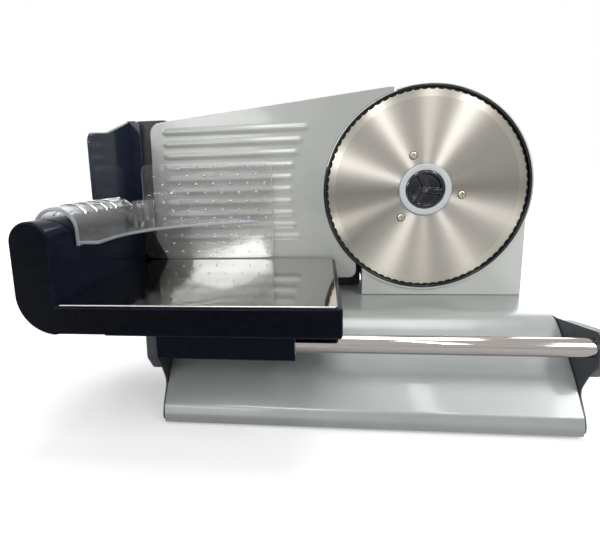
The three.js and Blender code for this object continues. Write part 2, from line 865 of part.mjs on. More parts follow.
function gear(teeth, module, x, z, direction, from, to) {
  const pitchRadius = (module * teeth) / 2;
  const tip = pitchRadius + gearTipShare * module;
  const root = pitchRadius - gearRootShare * module;
  const step = fullTurn / teeth;
  const points = [];
  for (let i = 0; i < teeth; i += 1) {
    const middle = direction * degree + i * step;
    const flanks = [
      [root, -toothRootWidthShare],
      [tip, -toothTipWidthShare],
      [tip, toothTipWidthShare],
      [root, toothRootWidthShare],
    ];
    flanks.forEach(([r, share]) => {
      const angle = middle + share * step;
      points.push(new THREE.Vector2(x + r * Math.cos(angle), z + r * Math.sin(angle)));
    });
  }
  return alongY(points, from, to);
}

const fastGearBack = fastGearFront + fastGearWidth;
const slowGearBack = slowGearFront + slowGearWidth;
const bracketBack = bracketFront + bracketThickness;
const motorFront = bracketBack + gap;
const motorBack = motorFront + motorLength;

// Drive: blade gear on the spindle, idler with two wheels, motor with armature, fan and pinion.
function buildDrive() {
  const meshPhase = halfTurnDegrees / idlerPinionTeeth;
  const fastPhase = halfTurnDegrees / motorPinionTeeth;
  const bladeGear = gear(bladeGearTeeth, slowModule, axisX, axisZ, idlerDirection, slowGearFront, slowGearBack);
  const spindleBore = turnedY(pin(spindleRadius + gap, 0, housingBack), axisX, axisZ, small);
  place("blade_gear", cut(bladeGear, spindleBore), nylon);
  place("blade_spindle", turnedY(pin(spindleRadius, spindleFront, spindleBack), axisX, axisZ, small), zincSteel);

  const idlerPinion = gear(
    idlerPinionTeeth, slowModule, idlerX, idlerZ, idlerDirection + halfTurnDegrees + meshPhase, slowGearFront, slowGearBack,
  );
  const idlerWheel = gear(idlerWheelTeeth, fastModule, idlerX, idlerZ, motorDirection, fastGearFront, fastGearBack);
  const neck = turnedY(pin(idlerShaftRadius + bushWall, slowGearFront, fastGearBack), idlerX, idlerZ, small);
  const idlerBore = turnedY(pin(idlerShaftRadius + gap, 0, housingBack), idlerX, idlerZ, small);
  place("idler_gear", cut(join(idlerPinion, idlerWheel, neck), idlerBore), nylon);
  const idlerShaft = pin(idlerShaftRadius, towerBack - idlerShaftSeat + gap, bracketBack);
  place("idler_shaft", turnedY(idlerShaft, idlerX, idlerZ, small), zincSteel);

  const pinion = gear(
    motorPinionTeeth, fastModule, motorX, motorZ, motorDirection + halfTurnDegrees + fastPhase, fastGearFront, fastGearBack,
  );
  const shaftBore = turnedY(pin(motorShaftRadius + gap, 0, housingBack), motorX, motorZ, small);
  place("motor_pinion", cut(pinion, shaftBore), bronze);
  const shaft = pin(motorShaftRadius, fastGearFront - gap, motorBack + overrun);
  place("motor_shaft", turnedY(shaft, motorX, motorZ, small), zincSteel);
  const armatureFront = motorFront + motorWall + armatureFrontInset;
  const armatureBack = armatureFront + armatureLength;
  const armature = turnedY(pin(armatureRadius, armatureFront, armatureBack), motorX, motorZ);
  place("motor_armature", cut(armature, shaftBore), lacquer);
  const fanFront = armatureBack + overrun;
  const disc = turnedY(pin(fanRadius, fanFront, fanFront + fanThickness), motorX, motorZ);
  const fins = [];
  for (let i = 0; i < fanBladeCount; i += 1) {
    const fin = rectangle(armatureRadius / 2, fanRadius, -fanThickness / 2, fanThickness / 2).map((point) =>
      point
        .rotateAround(new THREE.Vector2(), (fullTurn * i) / fanBladeCount)
        .add(new THREE.Vector2(motorX, motorZ)),
    );
    fins.push(alongY(fin, fanFront, fanFront + fanThickness + fanBladeHeight));
  }
  place("motor_fan", cut(join(disc, ...fins), shaftBore), mattBlack);
}

// Motor can: a drum with a shaft hole in each end.
function buildMotorCan() {
  const hole = motorShaftRadius + gap;
  const profile = [
    [hole, motorFront],
    [motorRadius, motorFront],
    [motorRadius, motorBack],
    [hole, motorBack],
    [hole, motorBack - motorWall],
    [motorRadius - motorWall, motorBack - motorWall],
    [motorRadius - motorWall, motorFront + motorWall],
    [hole, motorFront + motorWall],
    [hole, motorFront],
  ];
  place("motor_can", turnedY(profile, motorX, motorZ), zincSteel);
}

// Bracket behind the gears: a plate on four posts, with a boss for the rear bush.
function buildBracket() {
  const corners = rectangle(bracketLeft, bracketRight, bracketBottom, bracketTop, bracketCorner);
  const plate = alongY(corners, bracketFront, bracketBack);
  const boss = turnedY(pin(towerBossRadius, bracketFront, bracketBack + bracketBossLength), axisX, axisZ);
  const leftPostX = bracketLeft + bracketPostInset;
  const rightPostX = bracketRight - bracketPostInset;
  const lowPostZ = bracketBottom + bracketPostInset;
  const postPlaces = [[leftPostX, lowPostZ], [rightPostX, lowPostZ], [leftPostX, leftPostTopZ], [rightPostX, rightPostTopZ]];
  const posts = postPlaces.map(([x, z]) =>
    turnedY(pin(bracketPostRadius, towerBack + gap, bracketFront + overrun), x, z, small),
  );
  const holes = [
    turnedY(pin(bushRadius + gap, 0, housingBack), axisX, axisZ),
    turnedY(pin(idlerShaftRadius + gap, 0, housingBack), idlerX, idlerZ, small),
    turnedY(pin(motorShaftRadius + gap, 0, housingBack), motorX, motorZ, small),
  ];
  place("gear_bracket", cut(join(plate, boss, ...posts), ...holes), zincSteel);
}

function buildBushes() {
  const frontBush = tube(spindleRadius + gap, bushRadius, recessDepth, towerBack + towerBossLength);
  place("spindle_bush_front", turnedY(frontBush, axisX, axisZ, small), bronze);
  const rearBush = tube(spindleRadius + gap, bushRadius, bracketFront, bracketBack + bracketBossLength);
  place("spindle_bush_rear", turnedY(rearBush, axisX, axisZ, small), bronze);
}

buildDrive();
buildMotorCan();
buildBracket();
buildBushes();

const bladeBack = bladeFront + bladeThickness;
const hubFlangeFront = bladeBack + gap;
const hubFlangeBack = hubFlangeFront + hubFlangeThickness;
const hubFloorFront = lockKnobBack + gap;
const bladeScrews = [];
for (let i = 0; i < bladeScrewCount; i += 1) {
  const angle = bladeScrewFirstAngle * degree + (fullTurn * i) / bladeScrewCount;
  bladeScrews.push([axisX + bladeScrewCircle * Math.cos(angle), axisZ + bladeScrewCircle * Math.sin(angle)]);
}

// Blade: pointed teeth with round gullets between them.
const gulletShares = [0.3, 0.7];

function buildBlade() {
  const rim = [];
  const step = fullTurn / bladeTeeth;
  for (let i = 0; i < bladeTeeth; i += 1) {
    [0, ...gulletShares].forEach((share) => {
      const depth = toothDepth * Math.sqrt(Math.sin(Math.PI * share));
      const angle = (i + share) * step;
      const r = bladeRadius - depth;
      rim.push(new THREE.Vector2(axisX + r * Math.cos(angle), axisZ + r * Math.sin(angle)));
    });
  }
  const disc = alongY(rim, bladeFront, bladeBack);
  const centre = turnedY(pin(hubRadius + gap, 0, recessDepth), axisX, axisZ);
  const holes = bladeScrews.map(([x, z]) => turnedY(pin(bladeScrewShankRadius + gap, 0, recessDepth), x, z, small));
  place("blade", cut(disc, centre, ...holes), brushedSteel);
}

// Hub: its grey collar comes through the blade, and its flange takes the screws behind it.
function buildHub() {
  const bore = lockKnobRadius + gap;
  const floorBack = hubFloorFront + hubFloorThickness;
  const floorHole = spindleRadius + gap;
  const profile = [
    [bore, hubFront],
    [hubRadius, hubFront],
    [hubRadius, hubFlangeFront],
    [hubFlangeRadius, hubFlangeFront],
    [hubFlangeRadius, hubFlangeBack],
    [hubRadius, hubFlangeBack],
    [hubRadius, floorBack],
    [floorHole, floorBack],
    [floorHole, hubFloorFront],
    [bore, hubFloorFront],
    [bore, hubFront],
  ];
  const holes = bladeScrews.map(([x, z]) => turnedY(pin(bladeScrewShankRadius + gap, 0, recessDepth), x, z, small));
  place("blade_hub", cut(turnedY(profile, axisX, axisZ), ...holes), hubGrey);
}

function buildBladeScrews() {
  const headBack = bladeFront - gap;
  const headFront = headBack - bladeScrewHeadHeight;
  bladeScrews.forEach(([x, z], i) => {
    const head = turnedY(pin(bladeScrewHeadRadius, headFront, headBack), x, z, small);
    const shank = turnedY(pin(bladeScrewShankRadius, headFront, hubFlangeBack - gap), x, z, small);
    const half = (bladeScrewShankRadius * crossSlotLengthShare);
    const slotBack = headFront + bladeScrewHeadHeight * crossSlotDepthShare;
    const flat = rectangle(x - half, x + half, z - crossSlotWidth / 2, z + crossSlotWidth / 2);
    const tall = rectangle(x - crossSlotWidth / 2, x + crossSlotWidth / 2, z - half, z + half);
    const cross = join(alongY(flat, headFront - overrun, slotBack), alongY(tall, headFront - overrun, slotBack));
    place(`blade_screw_${i + 1}`, cut(join(head, shank), cross), zincSteel);
  });
}

// Lock knob: a disc with three curved finger pockets round an eye.
function buildLockKnob() {
  const front = hubFront + lockKnobSink;
  const disc = turnedY(pin(lockKnobRadius, front, lockKnobBack), axisX, axisZ);
  const pockets = [];
  const outerReach = lockKnobRadius - lockEyeRadius / 2;
  for (let i = 0; i < bladeScrewCount; i += 1) {
    const from = (2 * halfTurnDegrees * i) / bladeScrewCount + lockLobeMargin;
    const to = (2 * halfTurnDegrees * (i + 1)) / bladeScrewCount - lockLobeMargin;
    const outer = arc(axisX, axisZ, outerReach, from, to, small / 2);
    const inner = arc(axisX, axisZ, outerReach - lockLobeWidth, from, to, small / 2).reverse();
    pockets.push(alongY([...outer, ...inner], front - overrun, front + lockLobeDepth));
  }
  const socket = turnedY(pin(spindleRadius + gap, spindleFront - gap, lockKnobBack + overrun), axisX, axisZ, small);
  place("blade_lock_knob", cut(disc, ...pockets, socket), glossBlack);
}

buildBlade();
buildHub();
buildBladeScrews();
buildLockKnob();

const plateBack = plateFace + plateThickness;
const carrierFront = plateBack + gap;
const carrierBack = carrierFront + carrierThickness;
const plateCircle = rimInner + gap;

// Outline of the slice plate and of its carrier: the edge beside the blade follows the guard ring.
function plateShape(inset, from, to) {
  const corners = outline([
    [plateLeft + inset, plateBottom + inset, plateBottomCorner],
    [plateRight - inset, plateBottom + inset, plateBottomCorner],
    [plateRight - inset, axisZ],
    [plateTopRightX - inset, axisZ],
    [plateTopRightX - inset, plateTopRightZ - inset, ribHeight],
    [plateLeft + inset, plateTopLeftZ - inset, plateTopCorner],
  ]);
  const opening = turnedY(pin(plateCircle + inset, from - overrun, to + overrun), axisX, axisZ, fine);
  return cut(alongY(corners, from, to), opening);
}

function buildSlicePlate() {
  const face = plateFace;
  const ribs = [];
  for (let i = 0; i < ribCount; i += 1) {
    const z = ribLowest + i * ribPitch;
    const right = axisX - Math.sqrt(ribEndCircle ** 2 - (z - axisZ) ** 2);
    const crest = arc(0, 0, 1, 180, 0, arcSteps).map(
      (point) => new THREE.Vector2(face - point.y * ribHeight, z + (point.x * ribWidth) / 2),
    );
    const root = [
      new THREE.Vector2(plateBack - gap, z + ribWidth / 2),
      new THREE.Vector2(plateBack - gap, z - ribWidth / 2),
    ];
    ribs.push(alongX([...crest, ...root], ribLeft, right));
  }
  place("slice_plate", join(plateShape(0, face, plateBack), ...ribs), silverPaint);
}

// The black carrier shows as a tab to the left of the plate.
function buildCarrier() {
  const tab = alongY(
    outline([
      [carrierLeft, plateBottom + carrierInset, plateBottomCorner],
      [carrierTabRight, plateBottom + carrierInset],
      [carrierTabRight, carrierTop, carrierInset],
      [carrierLeft, carrierTop, carrierInset],
    ]),
    carrierFront,
    carrierBack,
  );
  const bossEnd = carrierBack + carrierBossLength;
  const boss = turnedY(pin(carrierBossRadius, carrierFront, bossEnd), guideX, adjusterZ);
  const bore = turnedY(pin(adjusterRadius + gap, carrierBack, bossEnd + overrun), guideX, adjusterZ, small);
  const whole = join(plateShape(carrierInset, carrierFront, carrierBack), tab, boss);
  place("plate_carrier", cut(whole, bore), mattBlack);
}

function buildGuides() {
  const from = carrierBack + gap;
  const bar = pin(guideBarRadius, from, from + guideBarLength);
  place("guide_bar_lower", turnedY(bar, guideX, lowerGuideZ, small), chromeSteel);
  place("guide_bar_upper", turnedY(bar, guideX, upperGuideZ, small), chromeSteel);
  const corners = rectangle(
    guideBlockLeft, housingLeft - gap, baseTop + gap, guideBlockTop, guideBlockCorner,
  );
  const through = [guideBlockFront - overrun, guideBlockBack + overrun];
  const guideHoles = [lowerGuideZ, upperGuideZ].map((z) =>
    turnedY(pin(guideBarRadius + gap, ...through), guideX, z, small),
  );
  const screwHole = turnedY(pin(adjusterRadius + gap, ...through), guideX, adjusterZ, small);
  const body = alongY(corners, guideBlockFront, guideBlockBack);
  place("guide_block", cut(body, ...guideHoles, screwHole), mattBlack);
}

// Thickness knob on the adjuster screw, with a skirt and scalloped grips.
function buildThicknessKnob() {
  const front = guideBlockBack + gap;
  const back = front + knobLength;
  const profile = [
    [0, front],
    [knobSkirtRadius, front],
    [knobSkirtRadius, front + knobSkirtLength / 2],
    [knobRadius, front + knobSkirtLength],
    [knobRadius, back - knobMarkRadius],
    [knobRadius - knobMarkRadius, back],
    [0, back],
  ];
  const knob = turnedY(profile, guideX, adjusterZ);
  const scallops = [];
  for (let i = 0; i < knobGripCount; i += 1) {
    const angle = (fullTurn * i) / knobGripCount;
    const x = guideX + knobRadius * Math.cos(angle);
    const z = adjusterZ + knobRadius * Math.sin(angle);
    scallops.push(turnedY(pin(knobGripRadius, front + knobSkirtLength, back + overrun), x, z, small / 2));
  }
  const socketEnd = back - knobSkirtLength;
  const socket = turnedY(pin(adjusterRadius + gap, front - overrun, socketEnd), guideX, adjusterZ, small);
  place("thickness_knob", cut(knob, ...scallops, socket), mattBlack);
  const screw = turnedY(pin(adjusterRadius, adjusterFront, socketEnd - gap), guideX, adjusterZ, small);
  place("adjuster_screw", screw, zincSteel);
}

buildSlicePlate();
buildCarrier();
buildGuides();
buildThicknessKnob();

// Rocker switch and sprung safety button in the side of the rear housing.
function buildControls() {
  const face = housingRight + switchProud;
  const back = housingRight - housingWall - switchDepth;
  const half = switchLength / 2;
  const rocker = alongY(
    outline([
      [back, switchZ - half / 2, switchCorner],
      [housingRight - housingWall, switchZ - half, switchCorner],
      [face, switchZ - half, switchCorner / 2],
      [face - switchCorner, switchZ],
      [face, switchZ + half, switchCorner / 2],
      [housingRight - housingWall, switchZ + half, switchCorner],
      [back, switchZ + half / 2, switchCorner],
    ]),
    switchY - switchWidth / 2,
    switchY + switchWidth / 2,
  );
  place("power_switch", rocker, mattBlack);
  const lipFront = housingRight - housingWall - gap;
  const stem = turnedX(pin(buttonRadius, lipFront - buttonBehind, housingRight + buttonProud), buttonY, buttonZ);
  const lip = turnedX(pin(buttonRadius + buttonLip, lipFront - buttonLipThickness, lipFront), buttonY, buttonZ);
  place("safety_button", join(stem, lip), darkGrey);
}

buildControls();

const frameTop = trayTop - trayThickness - gap;
const endWallInner = carriageLeft + endWallWidth;
const endWallMiddle = carriageLeft + endWallWidth / 2;
const wallRound = endWallWidth / 2 - gap / 2;
const slideBushRadius = rodRadius + gap + slideBushWall;
const frameCeiling = frameTop - carriageWall;

// Outline of the carriage frame, or of its hollow when it is inset by the wall.
function frameShape(inset) {
  const left = carriageLeft + inset;
  const right = carriageRight - inset;
  const bottom = carriageBottom + inset;
  const wallInner = endWallInner - inset;
  return outline([
    [left, bottom, carriageCorner - inset],
    [right, bottom, gap],
    [right, frameTop - inset, gap],
    [wallInner, frameTop - inset, gap],
    [wallInner, endWallTop - inset, wallRound - inset],
    [left, endWallTop - inset, wallRound - inset],
  ]);
}

// Carriage frame: an L of end wall and tray bed, hollow and open underneath.
function buildFrame() {
  const front = carriageFront + carriageWall;
  const back = carriageBack - carriageWall;
  const outer = alongY(frameShape(0), carriageFront, carriageBack);
  const hollow = alongY(frameShape(carriageWall), front, back);
  const left = carriageLeft + carriageCorner;
  const mouth = block(left, carriageRight - carriageWall, front, back, carriageBottom - overrun, frameCeiling);
  place("carriage_frame", cut(outer, hollow, mouth), glossBlack);
}

function buildTray() {
  const sheet = alongZ(
    rectangle(
      endWallInner + gap,
      carriageRight - trayRightInset,
      carriageFront + trayFrontInset,
      carriageBack,
      carriageSmallCorner,
    ),
    trayTop - trayThickness,
    trayTop,
  );
  place("food_tray", sheet, mirrorSteel);
}

// Runner: hangs under the tray bed and holds two bushes round the rod.
function buildRunner() {
  const section = outline([
    [rodY - runnerHalfWidth, runnerBottom, runnerCorner],
    [rodY + runnerHalfWidth, runnerBottom, runnerCorner],
    [rodY + runnerHalfWidth, frameCeiling - gap],
    [rodY - runnerHalfWidth, frameCeiling - gap],
  ]);
  const bore = turnedX(pin(slideBushRadius + gap, runnerLeft - overrun, runnerRight + overrun), rodY, rodZ);
  place("carriage_runner", cut(alongX(section, runnerLeft, runnerRight), bore), glossBlack);
  const leftBush = tube(rodRadius + gap, slideBushRadius, runnerLeft, runnerLeft + bushLength);
  const rightBush = tube(rodRadius + gap, slideBushRadius, runnerRight - bushLength, runnerRight);
  place("runner_bush_left", turnedX(leftBush, rodY, rodZ, small), nylon);
  place("runner_bush_right", turnedX(rightBush, rodY, rodZ, small), nylon);
  const glide = block(glideLeft, glideRight, glideFront, glideBack, baseTop + gap, frameCeiling - gap);
  place("carriage_glide", glide, nylon);
}

// Hand guard: a wing over the saddle, a post down to the end wall and a strip that faces the user.
function buildGuard() {
  const foot = endWallTop + gap;
  const wing = alongX(
    outline([
      [guardFront, guardWingBottom, gap],
      [guardPostFront, guardWingBottom],
      [guardPostFront, foot],
      [guardBack, foot],
      [guardBack, guardBackTop],
      [guardRiseY, guardFrontTop + guardWall, guardCorner],
      [guardFront, guardFrontTop, guardCorner],
    ]),
    guardX,
    guardX + guardWall,
  );
  const strip = alongY(
    outline([
      [guardX, foot],
      [guardX + guardStripWidth, foot],
      [guardX + guardStripWidth, guardBackTop, guardCorner],
      [guardX, guardBackTop],
    ]),
    guardBack - guardStripWall,
    guardBack,
  );
  place("hand_guard", join(wing, strip), glossBlack);
}

buildFrame();
buildTray();
buildRunner();
buildGuard();

// Pusher plate with staggered rows of small pyramids on the food side.
function buildPusherPlate() {
  const front = pusherBack - pusherThickness;
  const corners = rectangle(pusherLeft, pusherRight, pusherBottom, pusherTop, pusherCorner);
  const plate = alongY(corners, front, pusherBack);
  const spikes = [];
  for (let row = 0; row < spikeRows; row += 1) {
    const isStaggered = row % 2 === 0;
    const z = pusherTop - spikeTopInset - row * spikeRowPitch;
    for (let column = 0; column < spikeColumns; column += 1) {
      const x = pusherLeft + spikeLeftInset + (isStaggered ? spikeStagger : 0) + column * spikeColumnPitch;
      const spike = [[0, front + gap], [spikeRadius, pusherBack], [0, pusherBack + spikeHeight]];
      spikes.push(turnedY(spike, x, z, 4));
    }
  }
  place("pusher_plate", join(plate, ...spikes), clearPlastic);
}

// An arch that straddles the end wall: outer and inner half rounds on straight legs.
const archInner = endWallWidth / 2 + saddleClearance;
const archOuter = archInner + saddleWall;
const archZ = saddleTop - archOuter;

function arch(outer, inner, from, to) {
  const points = [
    new THREE.Vector2(endWallMiddle + outer, saddleBottom),
    ...arc(endWallMiddle, archZ, outer, 0, 180, small),
    new THREE.Vector2(endWallMiddle - outer, saddleBottom),
    new THREE.Vector2(endWallMiddle - inner, saddleBottom),
    ...arc(endWallMiddle, archZ, inner, 180, 0, small),
    new THREE.Vector2(endWallMiddle + inner, saddleBottom),
  ];
  return alongY(points, from, to);
}

function buildSaddle() {
  const linkBack = pusherBack - pusherThickness - gap;
  const body = arch(archOuter, archInner, saddleFront, saddleBack);
  const collar = arch(archOuter + collarProud, archInner, saddleBack - collarLength, saddleBack);
  const ribs = [];
  for (let i = 0; i < gripRibs; i += 1) {
    const y = gripFirstY + i * gripRibPitch;
    const outer = arc(endWallMiddle, archZ, archOuter + gripRibHeight, 90 - gripHalfAngle, 90 + gripHalfAngle, small);
    const inner = arc(endWallMiddle, archZ, archInner + gap, 90 - gripHalfAngle, 90 + gripHalfAngle, small);
    ribs.push(alongY([...outer, ...inner.reverse()], y, y + gripRibThickness));
  }
  const legMiddle = endWallMiddle + archInner + saddleWall / 2;
  const nearRight = endWallMiddle + archOuter + shelfNearWidth;
  const bend = new THREE.QuadraticBezierCurve(
    new THREE.Vector2(nearRight, shelfStraightBack),
    new THREE.Vector2(shelfBendX, shelfBendY),
    new THREE.Vector2(shelfFarRight, linkBack),
  );
  const shelf = alongZ(
    [
      new THREE.Vector2(legMiddle, saddleFront),
      new THREE.Vector2(nearRight, saddleFront),
      ...bend.getPoints(small / 2),
      new THREE.Vector2(legMiddle, linkBack),
    ],
    shelfBottom,
    shelfBottom + shelfThickness,
  );
  const link = block(legMiddle, legMiddle + linkWidth, saddleBack - collarLength, linkBack, linkBottom - gap, linkTop);
  const pocket = block(
    legMiddle + saddleWall,
    legMiddle + linkWidth - saddleWall / 2,
    saddleBack + gap,
    linkBack - saddleWall,
    linkBottom + saddleWall,
    linkTop + overrun,
  );
  place("pusher_saddle", cut(join(body, collar, shelf, link, ...ribs), pocket), clearPlastic);
}

buildPusherPlate();
buildSaddle();

// The origin is the middle of the underside of the whole slicer's box.
const extent = new THREE.Box3().setFromObject(slicer);
const middle = extent.getCenter(new THREE.Vector3());
slicer.position.set(-middle.x, -middle.y, -extent.min.z);

export default slicer;
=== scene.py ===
# %% [markdown]
# # A food slicer, piece by piece
# An electric slicer has a round toothed blade in front of a silver upright, a carriage that slides on a
# chrome rod, and a clear pusher that holds the food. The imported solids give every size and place. Here each
# solid that shows gets a finer surface round it, and every finish is made from nodes.

# %% Load the solids
import json
import math

import bmesh
import bpy
import numpy as np
from mathutils import Matrix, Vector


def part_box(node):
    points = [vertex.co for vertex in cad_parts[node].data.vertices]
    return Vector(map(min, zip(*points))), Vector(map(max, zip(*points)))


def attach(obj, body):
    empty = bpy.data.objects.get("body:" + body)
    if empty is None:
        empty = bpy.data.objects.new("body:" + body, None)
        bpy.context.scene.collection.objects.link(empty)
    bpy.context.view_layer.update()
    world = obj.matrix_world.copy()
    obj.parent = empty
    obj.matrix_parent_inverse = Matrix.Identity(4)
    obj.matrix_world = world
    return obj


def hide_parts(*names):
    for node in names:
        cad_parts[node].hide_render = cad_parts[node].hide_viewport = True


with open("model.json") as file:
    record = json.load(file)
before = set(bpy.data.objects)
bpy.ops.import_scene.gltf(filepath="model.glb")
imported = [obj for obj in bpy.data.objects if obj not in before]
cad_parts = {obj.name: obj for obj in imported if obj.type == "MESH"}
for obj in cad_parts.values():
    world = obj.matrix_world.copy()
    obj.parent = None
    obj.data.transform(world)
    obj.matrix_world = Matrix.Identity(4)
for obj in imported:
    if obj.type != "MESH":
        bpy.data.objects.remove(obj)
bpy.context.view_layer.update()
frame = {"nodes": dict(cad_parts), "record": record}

# %% [markdown]
# ## One set of axes
# The sizes below are in millimetres. They are counted from the blade: X from its axis to the right, Y from
# the plane of its guard ring to the back, and Z up from the worktop. The blade's own solid says where that is
# in the frame, so every surface lands on its solid with no fitting by hand.

# %% The blade's place in the frame
millimetre = 0.001
blade_front_y = 2.0
blade_low, blade_high = (np.array(corner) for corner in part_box("blade"))
blade_axis_z = 1000 * (blade_low[2] + blade_high[2]) / 2
frame_origin = np.array([(blade_low[0] + blade_high[0]) / 2, blade_low[1] - blade_front_y * millimetre, 0.0])
print("blade axis at", frame_origin, "and", round(float(blade_axis_z), 2), "mm up")


def in_frame(points):
    """Points in millimetres from the blade, scaled to metres and moved to the blade's place in the frame."""
    return np.asarray(points, float) * millimetre + frame_origin


# %% [markdown]
# ## Surfaces from grids
# A surface here is a grid of points: rows run one way over the piece and columns the other. Each square of
# the grid becomes a face. A row or column that closes on itself, such as the turn of a knob, joins its last
# point to its first.

# %% Faces of a grid
def grid_faces(rows, columns, close_rows=False, close_columns=False):
    """Each cell (i, j) joins the corners (i, j), (i, j+1), (i+1, j+1), (i+1, j); closed ways wrap round."""
    i = np.arange(rows if close_rows else rows - 1)[:, None]
    j = np.arange(columns if close_columns else columns - 1)[None, :]
    next_i, next_j = (i + 1) % rows, (j + 1) % columns
    corners = [i * columns + j, i * columns + next_j, next_i * columns + next_j, next_i * columns + j]
    return np.stack([c + 0 * i + 0 * j for c in corners], axis=-1).reshape(-1, 4).tolist()


# %% Turn a mesh into a piece of the slicer
def new_object(name, data):
    made = bpy.data.objects.new(name, data)
    bpy.context.scene.collection.objects.link(made)
    return made


def add_piece(name, points, faces, body, finish, slot, replaced, sharp_angle=32.0):
    """Makes the mesh, closes its seams and poles, points its faces outwards and puts it on its body."""
    mesh = bpy.data.meshes.new(name)
    mesh.from_pydata(in_frame(points), [], faces)
    tidy = bmesh.new()
    tidy.from_mesh(mesh)
    bmesh.ops.remove_doubles(tidy, verts=tidy.verts, dist=2e-6)
    bmesh.ops.recalc_face_normals(tidy, faces=tidy.faces)
    tidy.to_mesh(mesh)
    tidy.free()
    mesh.shade_smooth()
    mesh.set_sharp_from_angle(angle=math.radians(sharp_angle))
    mesh.materials.append(finish)
    piece = new_object(name, mesh)
    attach(piece, body)
    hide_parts(*replaced)
    print(name, len(mesh.vertices), "points on", body)
    return piece


# %% [markdown]
# Flat faces beside a rounded edge look dented if the shading blends over both. The Weighted Normal modifier
# lets the large face win, so a flat stays flat and only its rim rolls over.

# %% Keep flat faces flat
def keep_flats(piece):
    weighted = piece.modifiers.new("keep flats", "WEIGHTED_NORMAL")
    weighted.keep_sharp = True
    weighted.weight = 90
    return piece


# %% [markdown]
# ## Outlines with round corners
# Most moulded and bent pieces are an outline carried along an axis. The outline is a list of corners, each
# with its own radius, and the edge where it ends is rolled over by a small radius, because no real moulding
# has a knife edge. That small roll is what catches the light.

# %% Round the corners of an outline
def round_corners(corners, steps=10, closed=True):
    """Each corner (x, y, radius) is swapped for an arc that touches both of its sides."""
    pieces = []
    count = len(corners)
    for i, corner in enumerate(corners):
        here = np.array(corner[:2], float)
        radius = corner[2] if len(corner) > 2 else 0
        if radius == 0 or (not closed and i in (0, count - 1)):
            pieces.append(here[None])
            continue
        to_before = np.array(corners[i - 1][:2], float) - here
        to_after = np.array(corners[(i + 1) % count][:2], float) - here
        room = min(np.linalg.norm(to_before), np.linalg.norm(to_after)) / 2
        to_before /= np.linalg.norm(to_before)
        to_after /= np.linalg.norm(to_after)
        half = np.arccos(np.clip(to_before @ to_after, -1, 1)) / 2
        reach = min(radius / np.tan(half), room)
        bisector = (to_before + to_after) / np.linalg.norm(to_before + to_after)
        centre = here + bisector * reach / np.cos(half)
        start, end = here + to_before * reach - centre, here + to_after * reach - centre
        turn = np.arctan2(start[0] * end[1] - start[1] * end[0], start @ end)
        angle = np.linspace(0, turn, steps + 1)
        turned_x = start[0] * np.cos(angle) - start[1] * np.sin(angle)
        turned_y = start[0] * np.sin(angle) + start[1] * np.cos(angle)
        pieces.append(centre + np.stack([turned_x, turned_y], -1))
    return np.concatenate(pieces)


def rectangle(left, low, right, high, radius):
    corners = ((left, low), (right, low), (right, high), (left, high))
    return round_corners([(x, y, radius) for x, y in corners])


def inset(outline, distance, closed=True):
    """Every point moves to the left of the path by the distance, along the mean of its two sides' normals."""
    if closed:
        before, after = np.roll(outline, 1, 0), np.roll(outline, -1, 0)
    else:
        before = np.concatenate([outline[:1], outline[:-1]])
        after = np.concatenate([outline[1:], outline[-1:]])
    incoming, outgoing = outline - before, after - outline
    if not closed:
        incoming[0], outgoing[-1] = outgoing[0], incoming[-1]
    incoming = incoming / np.linalg.norm(incoming, axis=1, keepdims=True)
    outgoing = outgoing / np.linalg.norm(outgoing, axis=1, keepdims=True)
    along = incoming + outgoing
    along /= np.linalg.norm(along, axis=1, keepdims=True)
    normal = np.stack([-along[:, 1], along[:, 0]], -1)
    spread = np.maximum(np.abs((along * incoming).sum(1)), 0.5)
    return outline + normal * (distance / spread)[:, None]


def spaced(outline, pitch, closed=True):
    """The outline with points added on its long sides, so that no side is longer than the pitch."""
    ends = np.roll(outline, -1, 0) if closed else outline[1:]
    starts = outline if closed else outline[:-1]
    parts = [
        start + (end - start) * np.linspace(0, 1, max(1, math.ceil(np.linalg.norm(end - start) / pitch)),
                                            endpoint=False)[:, None]
        for start, end in zip(starts, ends)
    ]
    return np.concatenate(parts if closed else [*parts, outline[-1:]])


# %% Carry an outline along an axis
def lay_out(across, along, axis):
    """An outline point (a, b) at c on the axis: (c, a, b) for x, (a, c, b) for y and (a, b, c) for z."""
    a, b = across[..., 0], across[..., 1]
    c = np.broadcast_to(along, a.shape)
    return np.stack({"x": [c, a, b], "y": [a, c, b], "z": [a, b, c]}[axis], -1).reshape(-1, 3)


def lofted(rings, places, axis):
    """Closed rings of equal length at their places on the axis, joined in order, with a face on each end."""
    count, last = len(rings[0]), (len(rings) - 1) * len(rings[0])
    points = lay_out(np.stack(rings), np.array(places)[:, None], axis)
    faces = grid_faces(len(rings), count, close_columns=True)
    return points, [*faces, list(range(count)), list(range(last, last + count))]


def walled(rings, places, axis):
    """Rings that go out on one side of a wall and back on the other, with a strip of faces on each end."""
    count = rings.shape[1]
    strip = np.arange(count // 2 - 1)
    ends = np.stack([strip, strip + 1, count - 2 - strip, count - 1 - strip], -1)
    faces = grid_faces(len(rings), count, close_columns=True)
    faces += ends.tolist() + (ends[:, ::-1] + (len(rings) - 1) * count).tolist()
    return lay_out(rings, places[:, None], axis), faces


def quarter_roll(edge, steps):
    """An edge that rolls over is drawn in by edge x (1 - sin t) while it runs on by edge x (1 - cos t)."""
    t = np.linspace(0, np.pi / 2, steps + 1)
    return edge * (1 - np.sin(t)), edge * (1 - np.cos(t))


def rolled_prism(outline, low, high, edge, axis, steps=4):
    """The outline from low to high on the axis, with the edge of each end rolled over."""
    drawn_in, run = quarter_roll(edge, steps)
    rings = [inset(outline, d) for d in np.concatenate([drawn_in, drawn_in[::-1]])]
    return lofted(rings, np.concatenate([low + run, high - run[::-1]]), axis)


# %% Turn a profile round an axis
def full_turn(count):
    return np.linspace(0, 2 * np.pi, count, endpoint=False)


